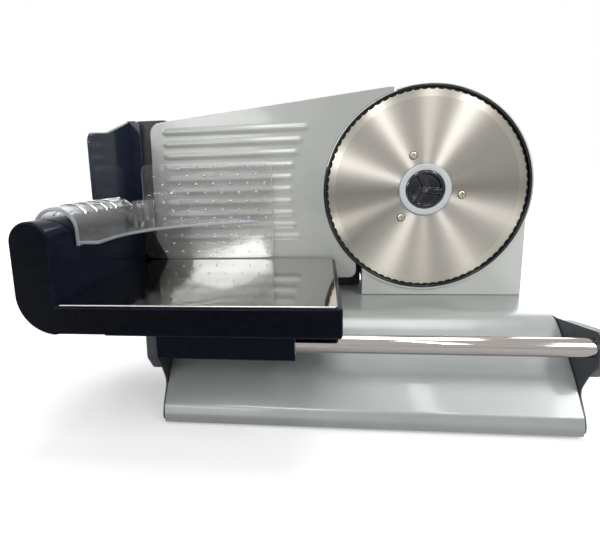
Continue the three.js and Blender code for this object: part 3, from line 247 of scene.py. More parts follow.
def polar(radius, angle, centre=(0.0, blade_axis_z)):
    """The point at a radius and an angle: (centre a + r cos, centre b + r sin)."""
    return np.stack([centre[0] + radius * np.cos(angle), centre[1] + radius * np.sin(angle)], -1)


def turned(profile, axis, segments, centre=(0.0, blade_axis_z), closed=False):
    """A profile point (r, c) goes round at the radius r, at c on the axis; a closed one is a ring."""
    profile = np.asarray(profile, float)
    points = lay_out(polar(profile[:, :1], full_turn(segments), centre), profile[:, 1:], axis)
    return points, grid_faces(len(profile), segments, close_rows=closed, close_columns=True)


def joined(*parts):
    """Several (points, faces) put one after another in one mesh, each with its face numbers moved on."""
    points, faces, first = [], [], 0
    for part_points, part_faces in parts:
        points.append(np.asarray(part_points, float))
        faces += [[index + first for index in face] for face in part_faces]
        first += len(part_points)
    return np.concatenate(points), faces


# %% [markdown]
# ## Finishes
# A finish starts from what the real surface is. Colours are written as on a paint card, in sRGB, and one
# function turns them to the linear values that the shader wants. One function adds a node, so a pattern reads
# from top to bottom: where a point is, what noise is there, and what that does to colour, gloss and height.
# Short functions on top of it make the nodes that most finishes share: the place, a noise, a ramp and a bump.

# %% Colours and nodes
def linear(hex_colour):
    """sRGB to linear: below 0.04045 divide by 12.92, above it ((c + 0.055) / 1.055) to the power 2.4."""
    channels = [int(hex_colour[i : i + 2], 16) / 255 for i in (1, 3, 5)]
    return (*[c / 12.92 if c <= 0.04045 else ((c + 0.055) / 1.055) ** 2.4 for c in channels], 1.0)


def grey(value):
    return (value, value, value, 1.0)


def new_finish(name, **settings):
    """A material with one Principled shader whose own sockets hold the values that are the same all over."""
    finish = bpy.data.materials.new(name)
    finish.use_nodes = True
    shader = finish.node_tree.nodes["Principled BSDF"]
    for key, value in settings.items():
        shader.inputs[key.replace("_", " ")].default_value = value
    return finish


def add_node(finish, kind, inputs=None, output=0, into=None, stops=(), **settings):
    """Adds a node. An input that is a socket is linked, any other is set; the output may go to the shader."""
    tree = finish.node_tree
    node = tree.nodes.new(kind)
    for key, value in settings.items():
        setattr(node, key, value)
    for element, (place, colour) in zip(node.color_ramp.elements if stops else (), stops):
        element.position, element.color = place, colour
    for key, value in (inputs or {}).items():
        if isinstance(value, bpy.types.NodeSocket):
            tree.links.new(value, node.inputs[key])
        else:
            node.inputs[key].default_value = value
    if into:
        tree.links.new(node.outputs[output], tree.nodes["Principled BSDF"].inputs[into])
    return node.outputs[output]


def object_place(finish):
    return add_node(finish, "ShaderNodeTexCoord", output="Object")


def noise(finish, where, scale, detail=2):
    return add_node(finish, "ShaderNodeTexNoise", {"Vector": where, "Scale": scale, "Detail": detail})


def ramp(finish, factor, into, *stops):
    """Each stop is a place between 0 and 1 and the colour there."""
    return add_node(finish, "ShaderNodeValToRGB", {"Fac": factor}, into=into, stops=stops)


def bump(finish, height, distance, strength):
    add_node(finish, "ShaderNodeBump", {"Height": height, "Distance": distance, "Strength": strength},
             into="Normal")


# %% [markdown]
# Noise is asked for by its scale, in blobs for each metre: 1000 / (size in millimetres). Every pattern uses
# object coordinates, which stay on the surface when the piece moves, because every piece sits at the origin.
#
# **Silver paint on aluminium.** A baked metallic lacquer: small aluminium flakes under a satin clear layer.
# The flakes give a soft broken sparkle, and the paint pools a little, which shows as an orange-peel ripple a
# few millimetres wide. Real flakes are 0.05 mm; they are drawn at 0.5 mm so that they show.

# %% Silver paint
def silver_paint(name, light, dark):
    finish = new_finish(name, Metallic=0.15, Coat_Weight=0.3, Coat_Roughness=0.08)
    where = object_place(finish)
    flakes, clouds = noise(finish, where, 2000, 1), noise(finish, where, 22, 3)
    mixed = add_node(finish, "ShaderNodeMix", {"Factor": 0.65, "A": flakes, "B": clouds}, data_type="FLOAT")
    ramp(finish, mixed, "Base Color", (0.3, linear(dark)), (0.7, linear(light)))
    ramp(finish, flakes, "Roughness", (0.2, grey(0.26)), (0.8, grey(0.4)))
    bump(finish, noise(finish, where, 330), 0.00002, 0.5)
    return finish


# One silver paint in three colours, and the differences are painted light and shade: the upright is painted
# lighter, and the slice plate and the base darker, for how the lamps fall on each.
base_silver_painted_darker = silver_paint("silver painted aluminium, base, painted darker", "#898D8B", "#7E8280")
plate_silver_painted_darker = silver_paint("silver painted steel, slice plate, painted darker", "#939592", "#878986")
upright_silver_painted_lighter = silver_paint("silver painted aluminium, upright, painted lighter", "#B6B8B5", "#AAACA9")

# %% [markdown]
# **Moulded plastics.** Polished black ABS on the carriage shows the room in it, with faint wipe marks in its
# gloss. The side covers and the rear housing come from a spark-eroded mould, so they have a fine grain and
# hardly any reflection.

# %% Black and grey plastics
def gloss_plastic(name, colour, lighter, roughness, specular):
    finish = new_finish(name, Specular_IOR_Level=specular)
    where = object_place(finish)
    drawn_out = add_node(finish, "ShaderNodeMapping", {"Vector": where, "Scale": (1, 1, 0.3)})
    wipes = noise(finish, drawn_out, 33, 4)
    ramp(finish, wipes, "Roughness", (0.3, grey(roughness)), (0.75, grey(roughness + 0.1)))
    pigment = noise(finish, where, 125)
    ramp(finish, pigment, "Base Color", (0.3, linear(colour)), (0.7, linear(lighter)))
    bump(finish, noise(finish, where, 80, 1), 0.00002, 0.15)
    return finish


def grained_plastic(name, colour, lighter, scale=1400, roughness=0.55):
    finish = new_finish(name)
    where = object_place(finish)
    grain, rubbed = noise(finish, where, scale), noise(finish, where, 40, 3)
    ramp(finish, grain, "Base Color", (0.3, linear(colour)), (0.75, linear(lighter)))
    ramp(finish, rubbed, "Roughness", (0.3, grey(roughness - 0.08)), (0.7, grey(roughness + 0.1)))
    bump(finish, grain, 0.00005, 0.6)
    return finish


carriage_black = gloss_plastic("polished black ABS", "#060B18", "#0B101E", 0.1, specular=0.05)
knob_black = gloss_plastic("black nylon, lock knob", "#080A13", "#0E111B", 0.05, specular=0.9)
ring_black = gloss_plastic("black ABS, blade guard", "#08090C", "#101216", 0.12, specular=0.5)
guard_black = gloss_plastic("blue-black ABS, hand guard", "#141A28", "#1A2130", 0.08, specular=0.35)
cover_grey = grained_plastic("dark grey ABS, side covers", "#25282E", "#31353B", roughness=0.42)
housing_black = grained_plastic("grained black ABS, rear housing", "#15161A", "#212328", scale=1100)
nylon_white = grained_plastic("natural nylon", "#CFC9B8", "#DCD7C8", roughness=0.45)
foot_rubber = grained_plastic("black rubber", "#111111", "#1E1E1E", scale=2000, roughness=0.8)
hub_paint = grained_plastic("grey enamel, blade hub", "#A3A6A8", "#B0B3B4", scale=830, roughness=0.34)
iron_lacquer = grained_plastic("brown lacquered iron", "#3A1C10", "#4C2618", roughness=0.4)

# %% [markdown]
# ** Bright metals.** The rod is hard chrome, so it is a clean mirror, but its colour is painted darker and
# warmer than bare chrome: painted shade for the darker room that it mirrors. The tray is stainless sheet,
# polished along its length: a mirror with very fine straight lines in it. Screws are zinc plated and a little
# yellow.

# %% Chrome, polished sheet, zinc and bronze
def bright_metal(name, colour, darker, roughness, spread=0.05, scale=1000, stretch=(1, 1, 1)):
    finish = new_finish(name, Metallic=1.0)
    where = object_place(finish)
    drawn_out = add_node(finish, "ShaderNodeMapping", {"Vector": where, "Scale": stretch})
    lines = noise(finish, drawn_out, scale, 3)
    ramp(finish, lines, "Base Color", (0.3, linear(darker)), (0.7, linear(colour)))
    ramp(finish, lines, "Roughness", (0.25, grey(roughness)), (0.8, grey(roughness + spread)))
    return finish


# Painted shade: the rod's colour is set darker and warmer than bare chrome, for the darker room it mirrors.
rod_chrome_painted_darker = bright_metal("hard chrome", "#A8A29E", "#A29C98", 0.06, spread=0.01, stretch=(0.05, 1, 1))
tray_steel = bright_metal("mirror polished stainless sheet", "#B0AEAA", "#A7A5A0", 0.05, stretch=(0.03, 1, 1))
screw_zinc = bright_metal("zinc plated steel", "#BDB8A8", "#A5A090", 0.22, spread=0.12)
gear_bronze = bright_metal("sintered bronze", "#B08A50", "#94713C", 0.4, spread=0.15, scale=2000)

# %% [markdown]
# ** Clear plastic.** The pusher is injection-moulded styrene. It bends light like thin glass, and its walls
# are so clear that it shows mostly by its edges, ribs and the small pyramids. A slow ripple in the surface
# is the mark of the mould. The narrow edges are drawn frosted and pale: a painted highlight for the light
# that runs inside the walls. The upper facets of the pyramids are painted white: a painted highlight for
# the light from above, which shows as white points.

# %% Clear styrene
clear_styrene = new_finish(
    "clear polystyrene", Base_Color=linear("#FFFFFF"), IOR=1.5, Transmission_Weight=0.98,
)
where = object_place(clear_styrene)
smudge = noise(clear_styrene, where, 50, 4)
ramp(clear_styrene, smudge, "Roughness", (0.35, grey(0.02)), (0.8, grey(0.12)))
bump(clear_styrene, noise(clear_styrene, where, 110, 1), 0.00003, 0.5)

# Painted highlight: the cut edges are a little rough, and their pale, part-clear colour stands for the light
# the walls gather.
frosted_edge_painted_highlight = new_finish(
    "polystyrene cut edges, frosted, painted highlight", Base_Color=linear("#C3C9D1"), Roughness=0.3, Transmission_Weight=0.7,
)
# Painted highlight: a white finish for the pyramid facets that face up.
painted_highlight_facet = new_finish(
    "polystyrene, upper facets, painted highlight", Base_Color=linear("#FFFFFF"), Roughness=0.15,
    Transmission_Weight=0.15,
)

# %% [markdown]
# **Turned steel.** The blade is ground while it spins, so its scratches are circles round the axis. Such a
# surface spreads light across the scratches and keeps it narrow along them: that is what makes the bright
# fans on the disc. Anisotropy does this, with its direction taken round the axis. Faint rings in colour and
# gloss come from noise of the distance to the axis alone. Real scratches are finer than 0.1 mm; they are
# drawn at 0.8 mm.

# %% Ground steel for the blade
blade_steel = new_finish("ground stainless steel, blade", Metallic=1.0, Anisotropic=1.0,
                         Anisotropic_Rotation=0.25)
bevel_start = 86.9 * millimetre
axis_point = tuple(in_frame([0, 0, blade_axis_z]))
from_axis = add_node(blade_steel, "ShaderNodeVectorMath", {0: object_place(blade_steel), 1: axis_point},
                     operation="SUBTRACT")
in_plane = add_node(blade_steel, "ShaderNodeVectorMath", {0: from_axis, 1: (1, 0, 1)}, operation="MULTIPLY")
distance = add_node(blade_steel, "ShaderNodeVectorMath", {0: in_plane}, output="Value", operation="LENGTH")
scratches = add_node(blade_steel, "ShaderNodeTexNoise", {"W": distance, "Scale": 1300, "Detail": 5},
                     noise_dimensions="1D")
# Painted shade: the disc's and the bevel's colours are set darker and browner than bare steel, for the darker
# room that the steel mirrors; the bevel's lighter tone is its grinding.
disc_colour = ramp(blade_steel, scratches, None, (0.3, linear("#A29E97")), (0.7, linear("#ADA9A2")))
on_bevel = add_node(blade_steel, "ShaderNodeMath", {0: distance, 1: bevel_start}, operation="GREATER_THAN")
add_node(blade_steel, "ShaderNodeMix", {"Factor": on_bevel, 6: disc_colour, 7: linear("#B3AFA5")}, output=2,
         into="Base Color", data_type="RGBA")
ramp(blade_steel, scratches, "Roughness", (0.2, grey(0.34)), (0.8, grey(0.42)))
add_node(blade_steel, "ShaderNodeTangent", into="Tangent", direction_type="RADIAL", axis="Y")

# %% Finish of each slot, for the solids that stay
slot_finish = {
    "silver_paint": upright_silver_painted_lighter,
    "dark_grey_plastic": cover_grey,
    "black_gloss_plastic": carriage_black,
    "black_matt_plastic": housing_black,
    "chrome_steel": rod_chrome_painted_darker,
    "brushed_steel": blade_steel,
    "mirror_steel": tray_steel,
    "clear_plastic": clear_styrene,
    "hub_grey": hub_paint,
    "nylon": nylon_white,
    "bronze": gear_bronze,
    "zinc_steel": screw_zinc,
    "rubber": foot_rubber,
    "lacquered_iron": iron_lacquer,
}
slot_of_node = {part["node"]: part["material_slot"] for part in frame["record"]["subparts"]}
bodies = frame["record"]["behaviour"]["bodies"]
body_of_node = {name: body for body, names in bodies.items() for name in names}
for node_name, node in frame["nodes"].items():
    node.data.materials.clear()
    node.data.materials.append(slot_finish[slot_of_node[node_name]])
print(len(frame["nodes"]), "solids have their finish")

# %% [markdown]
# ## The base
# The base is one bent silver shell: a flat deck, a wide roll at its front edge, a long slope under the rod
# and a front that swells a little before it turns under. One section in Y and Z, carried along X, gives all
# of it. The wall is the same section drawn in by 2.5 mm, and the underside stays open for the floor plate.

# %% Base shell
base_left, base_right, base_wall, edge, first_station, stations_between = -232.0, 98.0, 2.5, 0.5, 12.0, 18
base_corners = [
    (-134.3, 3.0), (-135.5, 9.5, 9), (-132.8, 17.5, 8), (-112.0, 41.5, 80), (-95.0, 57.5, 80),
    (-71.0, 81.0, 41), (75.0, 81.0, 8), (75.0, 3.0),
]
base_path = spaced(round_corners(base_corners, closed=False), 8.0, closed=False)
base_section = np.concatenate([base_path, inset(base_path, -base_wall, closed=False)[::-1]])
between = np.linspace(base_left + first_station, base_right - first_station, stations_between)
run = np.array([base_left, base_left + edge, *between, base_right - edge, base_right])
shrink = np.array([edge, *[0.0] * (stations_between + 2), edge])
rings = np.stack([inset(base_section, -d) for d in shrink])
add_piece("base_shell_skin", *walled(rings, run, "x"), "base", base_silver_painted_darker, "silver_paint", ["base_housing"])

# %% [markdown]
# ## The side covers
# Two dark covers close the ends of the shell. In front each swells into a horn that holds one end of the rod.
# The cover is a thin sheet that follows the shell's section just inside it.

# %% Side covers
cover_outline = spaced(round_corners([
    (-132.8, 4.5, 1.5), (73.5, 4.5, 1.5), (73.5, 79.0, 8), (-71.0, 79.0, 9), (-124.6, 86.0, 9),
    (-140.9, 88.0, 7.4), (-141.4, 62.0, 7.4), (-129.0, 49.0, 9), (-119.0, 33.4, 9), (-130.8, 17.5, 9),
    (-134.0, 9.5, 9),
]), 6.0)
horn_outline = spaced(round_corners([
    (-80.0, 49.0, 3), (-80.0, 80.0, 3), (-124.6, 86.0, 9), (-140.9, 88.0, 7.4), (-141.4, 62.0, 7.4),
    (-129.0, 49.0, 6),
]), 6.0)
sheet_thickness, horn_start, horn_end = 1.5, 0.1, 9.5
for side, inner_x, way in (("left", -232.3, -1), ("right", 98.3, 1)):
    plate_ends = sorted([inner_x, inner_x + way * sheet_thickness])
    horn_ends = sorted([inner_x + way * horn_start, inner_x + way * horn_end])
    cover = joined(rolled_prism(cover_outline, *plate_ends, 0.5, "x"),
                   rolled_prism(horn_outline, *horn_ends, 2.5, "x", steps=6))
    keep_flats(add_piece(f"side_cover_{side}_skin", *cover, "base", cover_grey, "dark_grey_plastic",
                         [f"end_cap_{side}"]))

# %% Chrome rod
rod_y, rod_z, rod_radius, rod_left, rod_right, chamfer = -132.0, 73.8, 7.4, -237.0, 103.0, 0.8
rod_profile = [(0, rod_left), (rod_radius - chamfer, rod_left), (rod_radius, rod_left + chamfer),
               (rod_radius, rod_right - chamfer), (rod_radius - chamfer, rod_right), (0, rod_right)]
add_piece("guide_rod_skin", *turned(rod_profile, "x", 96, (rod_y, rod_z)), "base", rod_chrome_painted_darker, "chrome_steel",
          ["guide_rod"])

# %% [markdown]
# ## The upright
# The upright is a slab behind the blade. Seen from its axis it is one shape: a disc, widened by a column that
# stands on the deck. So its surface is worked out in polar form: for each direction there is a distance to
# the rim, and a list of rows leads from the back, over the rim, across the face and down into the recess
# where the blade sits. On the right and at the top the recess has a thin bright wall of its own.

# %% Upright
column_left, column_right, column_bottom, column_top, foot_top = -59.5, 95.4, 81.3, 205.0, 83.3
column_front, upright_back, recess_y, rim_front, roll = 2.0, 15.0, 7.0, 0.2, 0.6
spindle_hole, disc_radius, recess_radius, rim_radius, rim_start, rim_end = 9.0, 97.6, 97.9, 99.45, -127, 107.5
corner_angles = [math.atan2(column_bottom - blade_axis_z, x) for x in (column_left, column_right)]
angle = np.unique(np.concatenate([np.linspace(-np.pi, np.pi, 721)[:-1], corner_angles]))
cos, sin = np.cos(angle), np.sin(angle)
to_side = np.where(cos > 0, column_right, -column_left) / np.maximum(np.abs(cos), 1e-6)
to_end = np.where(sin > 0, column_top - blade_axis_z, blade_axis_z - column_bottom)
to_column = np.minimum(to_side, to_end / np.maximum(np.abs(sin), 1e-6))
has_rim = (np.degrees(angle) > rim_start) & (np.degrees(angle) < rim_end)
disc = np.where(has_rim, rim_radius, disc_radius)
outline_radius = np.maximum(disc, to_column)
on_column = to_column > disc + 0.5
face_y = np.where(on_column, column_front, np.where(has_rim, rim_front, recess_y))
rim_y = np.where(has_rim, rim_front, recess_y)
rows = [
    (np.full_like(angle, spindle_hole), upright_back), (outline_radius - roll, upright_back),
    (outline_radius - 0.3 * roll, upright_back - 0.3 * roll), (outline_radius, upright_back - roll),
    (outline_radius, face_y + roll), (outline_radius - 0.3 * roll, face_y + 0.3 * roll),
    (outline_radius - roll, face_y), (np.where(on_column, rim_radius, outline_radius - roll), face_y),
    (np.minimum(outline_radius - roll, rim_radius - 0.1), rim_y),
    (np.where(has_rim, recess_radius + 0.1, disc_radius - roll), rim_y),
    (np.where(has_rim, recess_radius, disc_radius - roll), recess_y),
    (np.full_like(angle, spindle_hole), recess_y),
]
radius = np.stack([row[0] for row in rows])
depth = np.stack([np.broadcast_to(row[1], angle.shape) for row in rows])
upright_points = lay_out(polar(radius, angle), depth, "y")
upright_faces = grid_faces(len(rows), len(angle), close_rows=True, close_columns=True)
foot_strip = rolled_prism(rectangle(-58.0, 14.0, 95.3, 66.0, 1), column_bottom, foot_top, 0.7, "z")
upright = joined((upright_points, upright_faces), foot_strip)
keep_flats(add_piece("upright_skin", *upright, "base", upright_silver_painted_lighter, "silver_paint", ["blade_upright"]))

# %% [markdown]
# ## The blade and what holds it
# The guard ring is a black channel that the blade's teeth run in. The blade is worked out in polar form: its
# rim dips between teeth as the square root of a sine, which gives round gullets and sharp points, and the
# last 8 mm are ground back to a thin edge.

# %% Guard ring
ring_profile = round_corners([
    (44.0, 5.3), (95.9, 5.3, 0.4), (95.9, 0.6, 0.5), (97.6, 0.6, 0.5), (97.6, 6.7), (44.0, 6.7),
], steps=4)
add_piece("guard_ring_skin", *turned(ring_profile, "y", 360, closed=True), "base", ring_black,
          "black_matt_plastic", ["blade_guard_ring"])

# %% Toothed blade
teeth, steps_per_tooth, tooth_depth, bevel_depth = 80, 12, 1.5, 0.85
blade_radius, bevel_radius, bore_radius, blade_back_y = 95.0, 87.0, 25.3, 3.2
angle = full_turn(teeth * steps_per_tooth)
share = (np.arange(len(angle)) % steps_per_tooth) / steps_per_tooth
tip_radius = blade_radius - tooth_depth * np.sqrt(np.sin(np.pi * share))
flat_radii = np.array([bore_radius, 30, 38, 46, 54, 62, 70, 78, 84, bevel_radius - 0.2])
bevel_share = np.linspace(0, 1, 9)
bevel_rows = bevel_radius + (tip_radius[None] - bevel_radius) * bevel_share[:, None]
front_radius = np.concatenate([np.repeat(flat_radii[:, None], len(angle), 1), bevel_rows])
on_bevel = np.maximum(front_radius - bevel_radius, 0) / (blade_radius - bevel_radius)
front_y = blade_front_y + bevel_depth * on_bevel
blade_radii = np.concatenate([front_radius, tip_radius[None], np.full((1, len(angle)), bore_radius)])
blade_y = np.concatenate([front_y, np.full((2, len(angle)), blade_back_y)])
blade_points = lay_out(polar(blade_radii, angle), blade_y, "y")
blade_faces = grid_faces(len(blade_radii), len(angle), close_rows=True, close_columns=True)
add_piece("blade_skin", blade_points, blade_faces, "blade_set", blade_steel, "brushed_steel", ["blade"],
          sharp_angle=4.0)

# %% Hub
hub_profile = round_corners([
    (18.8, 5.3), (18.8, 0.5, 0.5), (25.0, 0.5, 1.2), (25.0, 3.5), (42.0, 3.5), (42.0, 5.9), (12.0, 5.9),
    (12.0, 6.3), (5.3, 6.3), (5.3, 5.3),
], steps=5)
add_piece("hub_skin", *turned(hub_profile, "y", 160, closed=True), "blade_set", hub_paint, "hub_grey",
          ["blade_hub"])

# %% [markdown]
# ## The lock knob
# The knob's face is a height field in polar form. Three curved pockets leave three spokes between them. A
# pocket's edge is the distance to its nearest wall, passed through a smooth step, so its walls lean and its
# corners are soft, as moulded ones are.

# %% Soft steps and edges
def smooth_step(low, high, value):
    """0 below low, 1 above high and 3t^2 - 2t^3 between."""
    t = np.clip((value - low) / (high - low), 0, 1)
    return t * t * (3 - 2 * t)


def fall(from_edge, radius):
    """How far a face has fallen at a distance from its edge, where a quarter circle rounds that edge."""
    return radius * (1 - np.sqrt(1 - (1 - np.clip(from_edge / radius, 0, 1)) ** 2))


# %% Lock knob
knob_radius, knob_front, knob_back, pocket_depth = 18.5, 0.9, 5.0, 2.5
spoke_half, pocket_inner, pocket_outer, wall_lean, knob_edge = 1.9, 3.2, 15.6, 1.7, 1.1
spoke_angle, sweep, sweep_radius = 15, 1.1, 9
angle = full_turn(240)
knob_radii = np.concatenate([[0.0], np.linspace(0.8, 17.4, 56)])
radius = knob_radii[:, None] + 0 * angle
from_spoke = np.degrees(angle) + spoke_angle - sweep * (radius - sweep_radius)
from_spoke = np.abs((from_spoke + 60) % 120 - 60)
to_spoke = radius * np.sin(np.radians(np.minimum(from_spoke, 90))) - spoke_half
wall_distance = np.minimum(np.minimum(to_spoke, pocket_outer - radius), radius - pocket_inner)
pocket = smooth_step(0.0, wall_lean, wall_distance)
knob_y = knob_front + pocket_depth * pocket + 0.5 * smooth_step(3.0, 0.0, radius)
drawn_in, run = quarter_roll(knob_edge, 5)
rim_radii, rim_y = knob_radius - drawn_in[1:], knob_front + run[1:]
knob_radii = np.concatenate([knob_radii, rim_radii, [knob_radius, 0.0]])
knob_y = np.concatenate([knob_y, np.broadcast_to(np.append(rim_y, [knob_back, knob_back])[:, None],
                                                 (len(rim_y) + 2, len(angle)))])
add_piece("lock_knob_skin", lay_out(polar(knob_radii[:, None], angle), knob_y, "y"),
          grid_faces(len(knob_radii), len(angle), close_columns=True), "lock_knob", knob_black,
          "black_gloss_plastic", ["blade_lock_knob"])

# %% [markdown]
# Each cross-head screw is a low dome. The cross is cut with the same smooth step, from the distance to its
# two arms. Round each of the blade's own three, a thin dark ring on the blade's face is painted shadow: the
# shade of the countersink that the head sits in.

# %% Cross-head screws
def cross_screw(centre, radius, face, back, axis):
    """A domed head between its face and its back along the axis, with a cross 1 mm deep."""
    angle = full_turn(96)
    radii = np.concatenate([[0.0], np.linspace(0.1, 1.0, 26)]) * radius
    from_centre = np.abs(polar(radii[:, None], angle, (0.0, 0.0)))
    way = 1.0 if back > face else -1.0
    dome = 0.6 * (radii[:, None] / radius) ** 6 * abs(back - face)
    arm_half, arm_length = 0.12 * radius, 0.62 * radius
    to_cross = np.maximum(from_centre.min(-1) - arm_half, from_centre.max(-1) - arm_length)
    slot_depth = smooth_step(arm_half, 0.0, to_cross)
    height = face + way * (dome + slot_depth)
    height = np.concatenate([height, np.full((2, len(angle)), back)])
    across = polar(np.append(radii, [radius, 0.0])[:, None], angle, centre)
    return lay_out(across, height, axis), grid_faces(len(height), len(angle), close_columns=True)


# Painted shadow: a thin dark ring on the blade's face, for the shade of each screw's countersink.
countersink_shadow_paint = new_finish("painted shadow, countersink edge", Base_Color=linear("#57534C"), Metallic=1.0,
                        Roughness=0.5)
screw_circle, screw_radius, shadow_ring_inner, shadow_ring_outer = 35.0, 3.4, 3.0, 4.1
shadow_ring_front, shadow_ring_back = blade_front_y - 0.04, blade_front_y + 0.1
shadow_ring_profile = [(shadow_ring_inner, shadow_ring_front), (shadow_ring_outer, shadow_ring_front), (shadow_ring_outer, shadow_ring_back),
                (shadow_ring_inner, shadow_ring_back)]
for i, degrees in enumerate((-9.5, 110.5, 230.5), 1):
    centre = polar(screw_circle, math.radians(degrees))
    head = cross_screw(centre, screw_radius, 0.8, 1.9, "y")
    shadow_ring = turned(shadow_ring_profile, "y", 96, centre, closed=True)
    screw = add_piece(f"blade_screw_{i}_skin", *joined(head, shadow_ring), "blade_set", screw_zinc, "zinc_steel",
                      [f"blade_screw_{i}"])
    screw.data.materials.append(countersink_shadow_paint)
    for face in screw.data.polygons[len(head[1]):]:
        face.material_index = 1

# %% [markdown]
# ## The slice plate
# The plate that sets the slice is a height field too. Each row runs from the straight left edge to the edge
# beside the blade, which keeps a constant distance from the guard ring. Ten ribs rise from it, and each ends
# in a round nose beside the blade.

# %% Slice plate
plate_left, plate_face, plate_back, plate_low, plate_right = -274.7, 2.2, 5.2, 98.9, -65.6
plate_arc, plate_top_left, plate_top_right, plate_high, plate_right_top = 98.2, 258.6, 284.6, 284.6, -32.0
arc_low, arc_high, lower_corner, plate_edge = 114.0, 279.8, 7.5, 0.6
plate_z = np.unique(np.concatenate([np.linspace(plate_low, plate_high, 300), [113.92, 279.84, 257.0]]))
arc_x = -np.sqrt(np.maximum(plate_arc**2 - (plate_z - blade_axis_z) ** 2, 0.0))
right_x = np.where(plate_z < arc_low, plate_right, np.where(plate_z > arc_high, plate_right_top, arc_x))
corner_path = round_corners([(plate_left, 200.0), (plate_left, plate_top_left, 11),
                             (plate_right_top, plate_top_right)], steps=24, closed=False)
left_x = np.interp(plate_z, corner_path[:, 1], corner_path[:, 0])
cut_back = fall(plate_z - plate_low, lower_corner)
left_x, right_x = left_x + cut_back, right_x - cut_back
right_x = np.maximum(right_x, left_x + 0.4)
share = np.concatenate([[0.0, 0.002], np.linspace(0.02, 0.98, 130), [0.998, 1.0]])
plate_x = left_x[:, None] + (right_x - left_x)[:, None] * share
z = plate_z[:, None] + 0 * plate_x
rib_height = np.zeros_like(plate_x)
rib_left, rib_width, rib_top, lowest_rib, rib_pitch, nose_circle = -262.0, 9.4, 0.85, 142.0, 12.0, 128.5
for rib_z in lowest_rib + rib_pitch * np.arange(10):
    rib_right = -math.sqrt(nose_circle**2 - (rib_z - blade_axis_z) ** 2)
    half = rib_width / 2
    nearest = np.clip(plate_x, rib_left + half, rib_right - half)
    from_line = np.hypot(plate_x - nearest, z - rib_z)
    rib_height = np.maximum(rib_height, rib_top * np.cos(np.pi / 2 * np.clip(from_line / half, 0, 1)) ** 2)
at_edge = np.minimum.reduce([plate_x - left_x[:, None], right_x[:, None] - plate_x,
                             z - plate_low, plate_high - z])
face_y = plate_face - rib_height + fall(at_edge, plate_edge)
front = np.stack([plate_x, face_y, z], -1)
back = np.stack([plate_x, np.full_like(plate_x, plate_back), z], -1)
rows, columns = plate_x.shape
sheet = grid_faces(rows, columns)
last = rows * columns
plate_faces = sheet + [[corner + last for corner in face[::-1]] for face in sheet]
rim = [*range(columns), *[i * columns + columns - 1 for i in range(1, rows)],
       *[(rows - 1) * columns + j for j in range(columns - 2, -1, -1)],
       *[i * columns for i in range(rows - 2, 0, -1)]]
plate_faces += [[a, b, b + last, a + last] for a, b in zip(rim, rim[1:] + rim[:1])]
plate_points = np.concatenate([front.reshape(-1, 3), back.reshape(-1, 3)])
add_piece("slice_plate_skin", plate_points, plate_faces, "gauge_plate", plate_silver_painted_darker, "silver_paint",
          ["slice_plate"])

# %% [markdown]
# ## The carriage
# The carriage is one polished moulding: a bed for the tray and an end wall for the pusher to ride on, in one
# section carried along Y. The bed is hollow underneath, so the section's lower side steps up between the two
# end walls of the hollow.

# %% Carriage frame
carriage_front, carriage_back, hollow_front, hollow_back = -195.4, -4.5, -192.0, -7.9
wall_left, bed_low, bed_high, bed_right, wall_right, wall_top = -314.0, 98.7, 119.3, -87.0, -284.5, 178.7
hollow_left, hollow_right, hollow_top, carriage_edge = -285.0, -90.4, 115.9, 1.4


def carriage_section(hollow):
    """The section round the bed and the wall, from the hollow's left corner; 0 keeps the underside flat."""
    flat = np.array([(hollow_left, bed_low), (-250.0, bed_low), (-125.0, bed_low), (hollow_right, bed_low)])
    raised = np.array([(hollow_left, bed_low), (hollow_left, hollow_top), (hollow_right, hollow_top),
                       (hollow_right, bed_low)])
    rest = round_corners([
        (bed_right, bed_low, 2), (bed_right, bed_high, 1.2), (wall_right, bed_high, 1.5),
        (wall_right, wall_top, 14.6), (wall_left, wall_top, 14.6), (wall_left, bed_low, 29),
    ], steps=20)
    return np.concatenate([flat + (raised - flat) * hollow, rest])


drawn_in, run = quarter_roll(carriage_edge, 6)
flat_section = carriage_section(0.0)
sections = [inset(flat_section, d) for d in drawn_in] + [carriage_section(h) for h in (0.0, 1.0, 1.0, 0.0)]
sections += [inset(flat_section, d) for d in drawn_in[::-1]]
stations = [*(carriage_front + run), hollow_front, hollow_front, hollow_back, hollow_back,
            *(carriage_back - run[::-1])]
keep_flats(add_piece("carriage_skin", *lofted(sections, stations, "y"), "carriage", carriage_black,
                     "black_gloss_plastic", ["carriage_frame"]))

# %% Tray and hand guard
tray_low, tray_high, tray_edge = 119.6, 120.8, 0.45
tray = rolled_prism(rectangle(-284.2, -194.6, -90.2, -4.5, 3), tray_low, tray_high, tray_edge, "z")
keep_flats(add_piece("food_tray_skin", *tray, "carriage", tray_steel, "mirror_steel", ["food_tray"]))

wing_outline = round_corners([(-97.0, 187.8, 2), (-36.0, 187.8, 2), (-36.0, 179.0, 2), (-0.6, 179.0, 1.5),
                              (-0.6, 262.0, 3), (-58.0, 247.0, 9), (-97.0, 244.0, 9)])
strip_outline = round_corners([(-296.8, 179.0, 1), (-283.3, 179.0, 1), (-283.3, 262.0, 9),
                               (-296.8, 262.0, 1)])
guard = joined(rolled_prism(wing_outline, -296.8, -293.8, 0.8, "x"),
               rolled_prism(strip_outline, -3.0, -0.6, 0.6, "y"))
keep_flats(add_piece("hand_guard_skin", *guard, "carriage", guard_black, "black_gloss_plastic",
                     ["hand_guard"]))

# %% [markdown]
# ## The pusher
# The saddle is an arch that rides on the end wall. Its outer radius changes along Y: four broad ridges give
# grip, and a collar closes the end beside the blade. The ridges fade out down the sides of the arch. One grid
# holds it all, because inside clear plastic every needless wall would show.

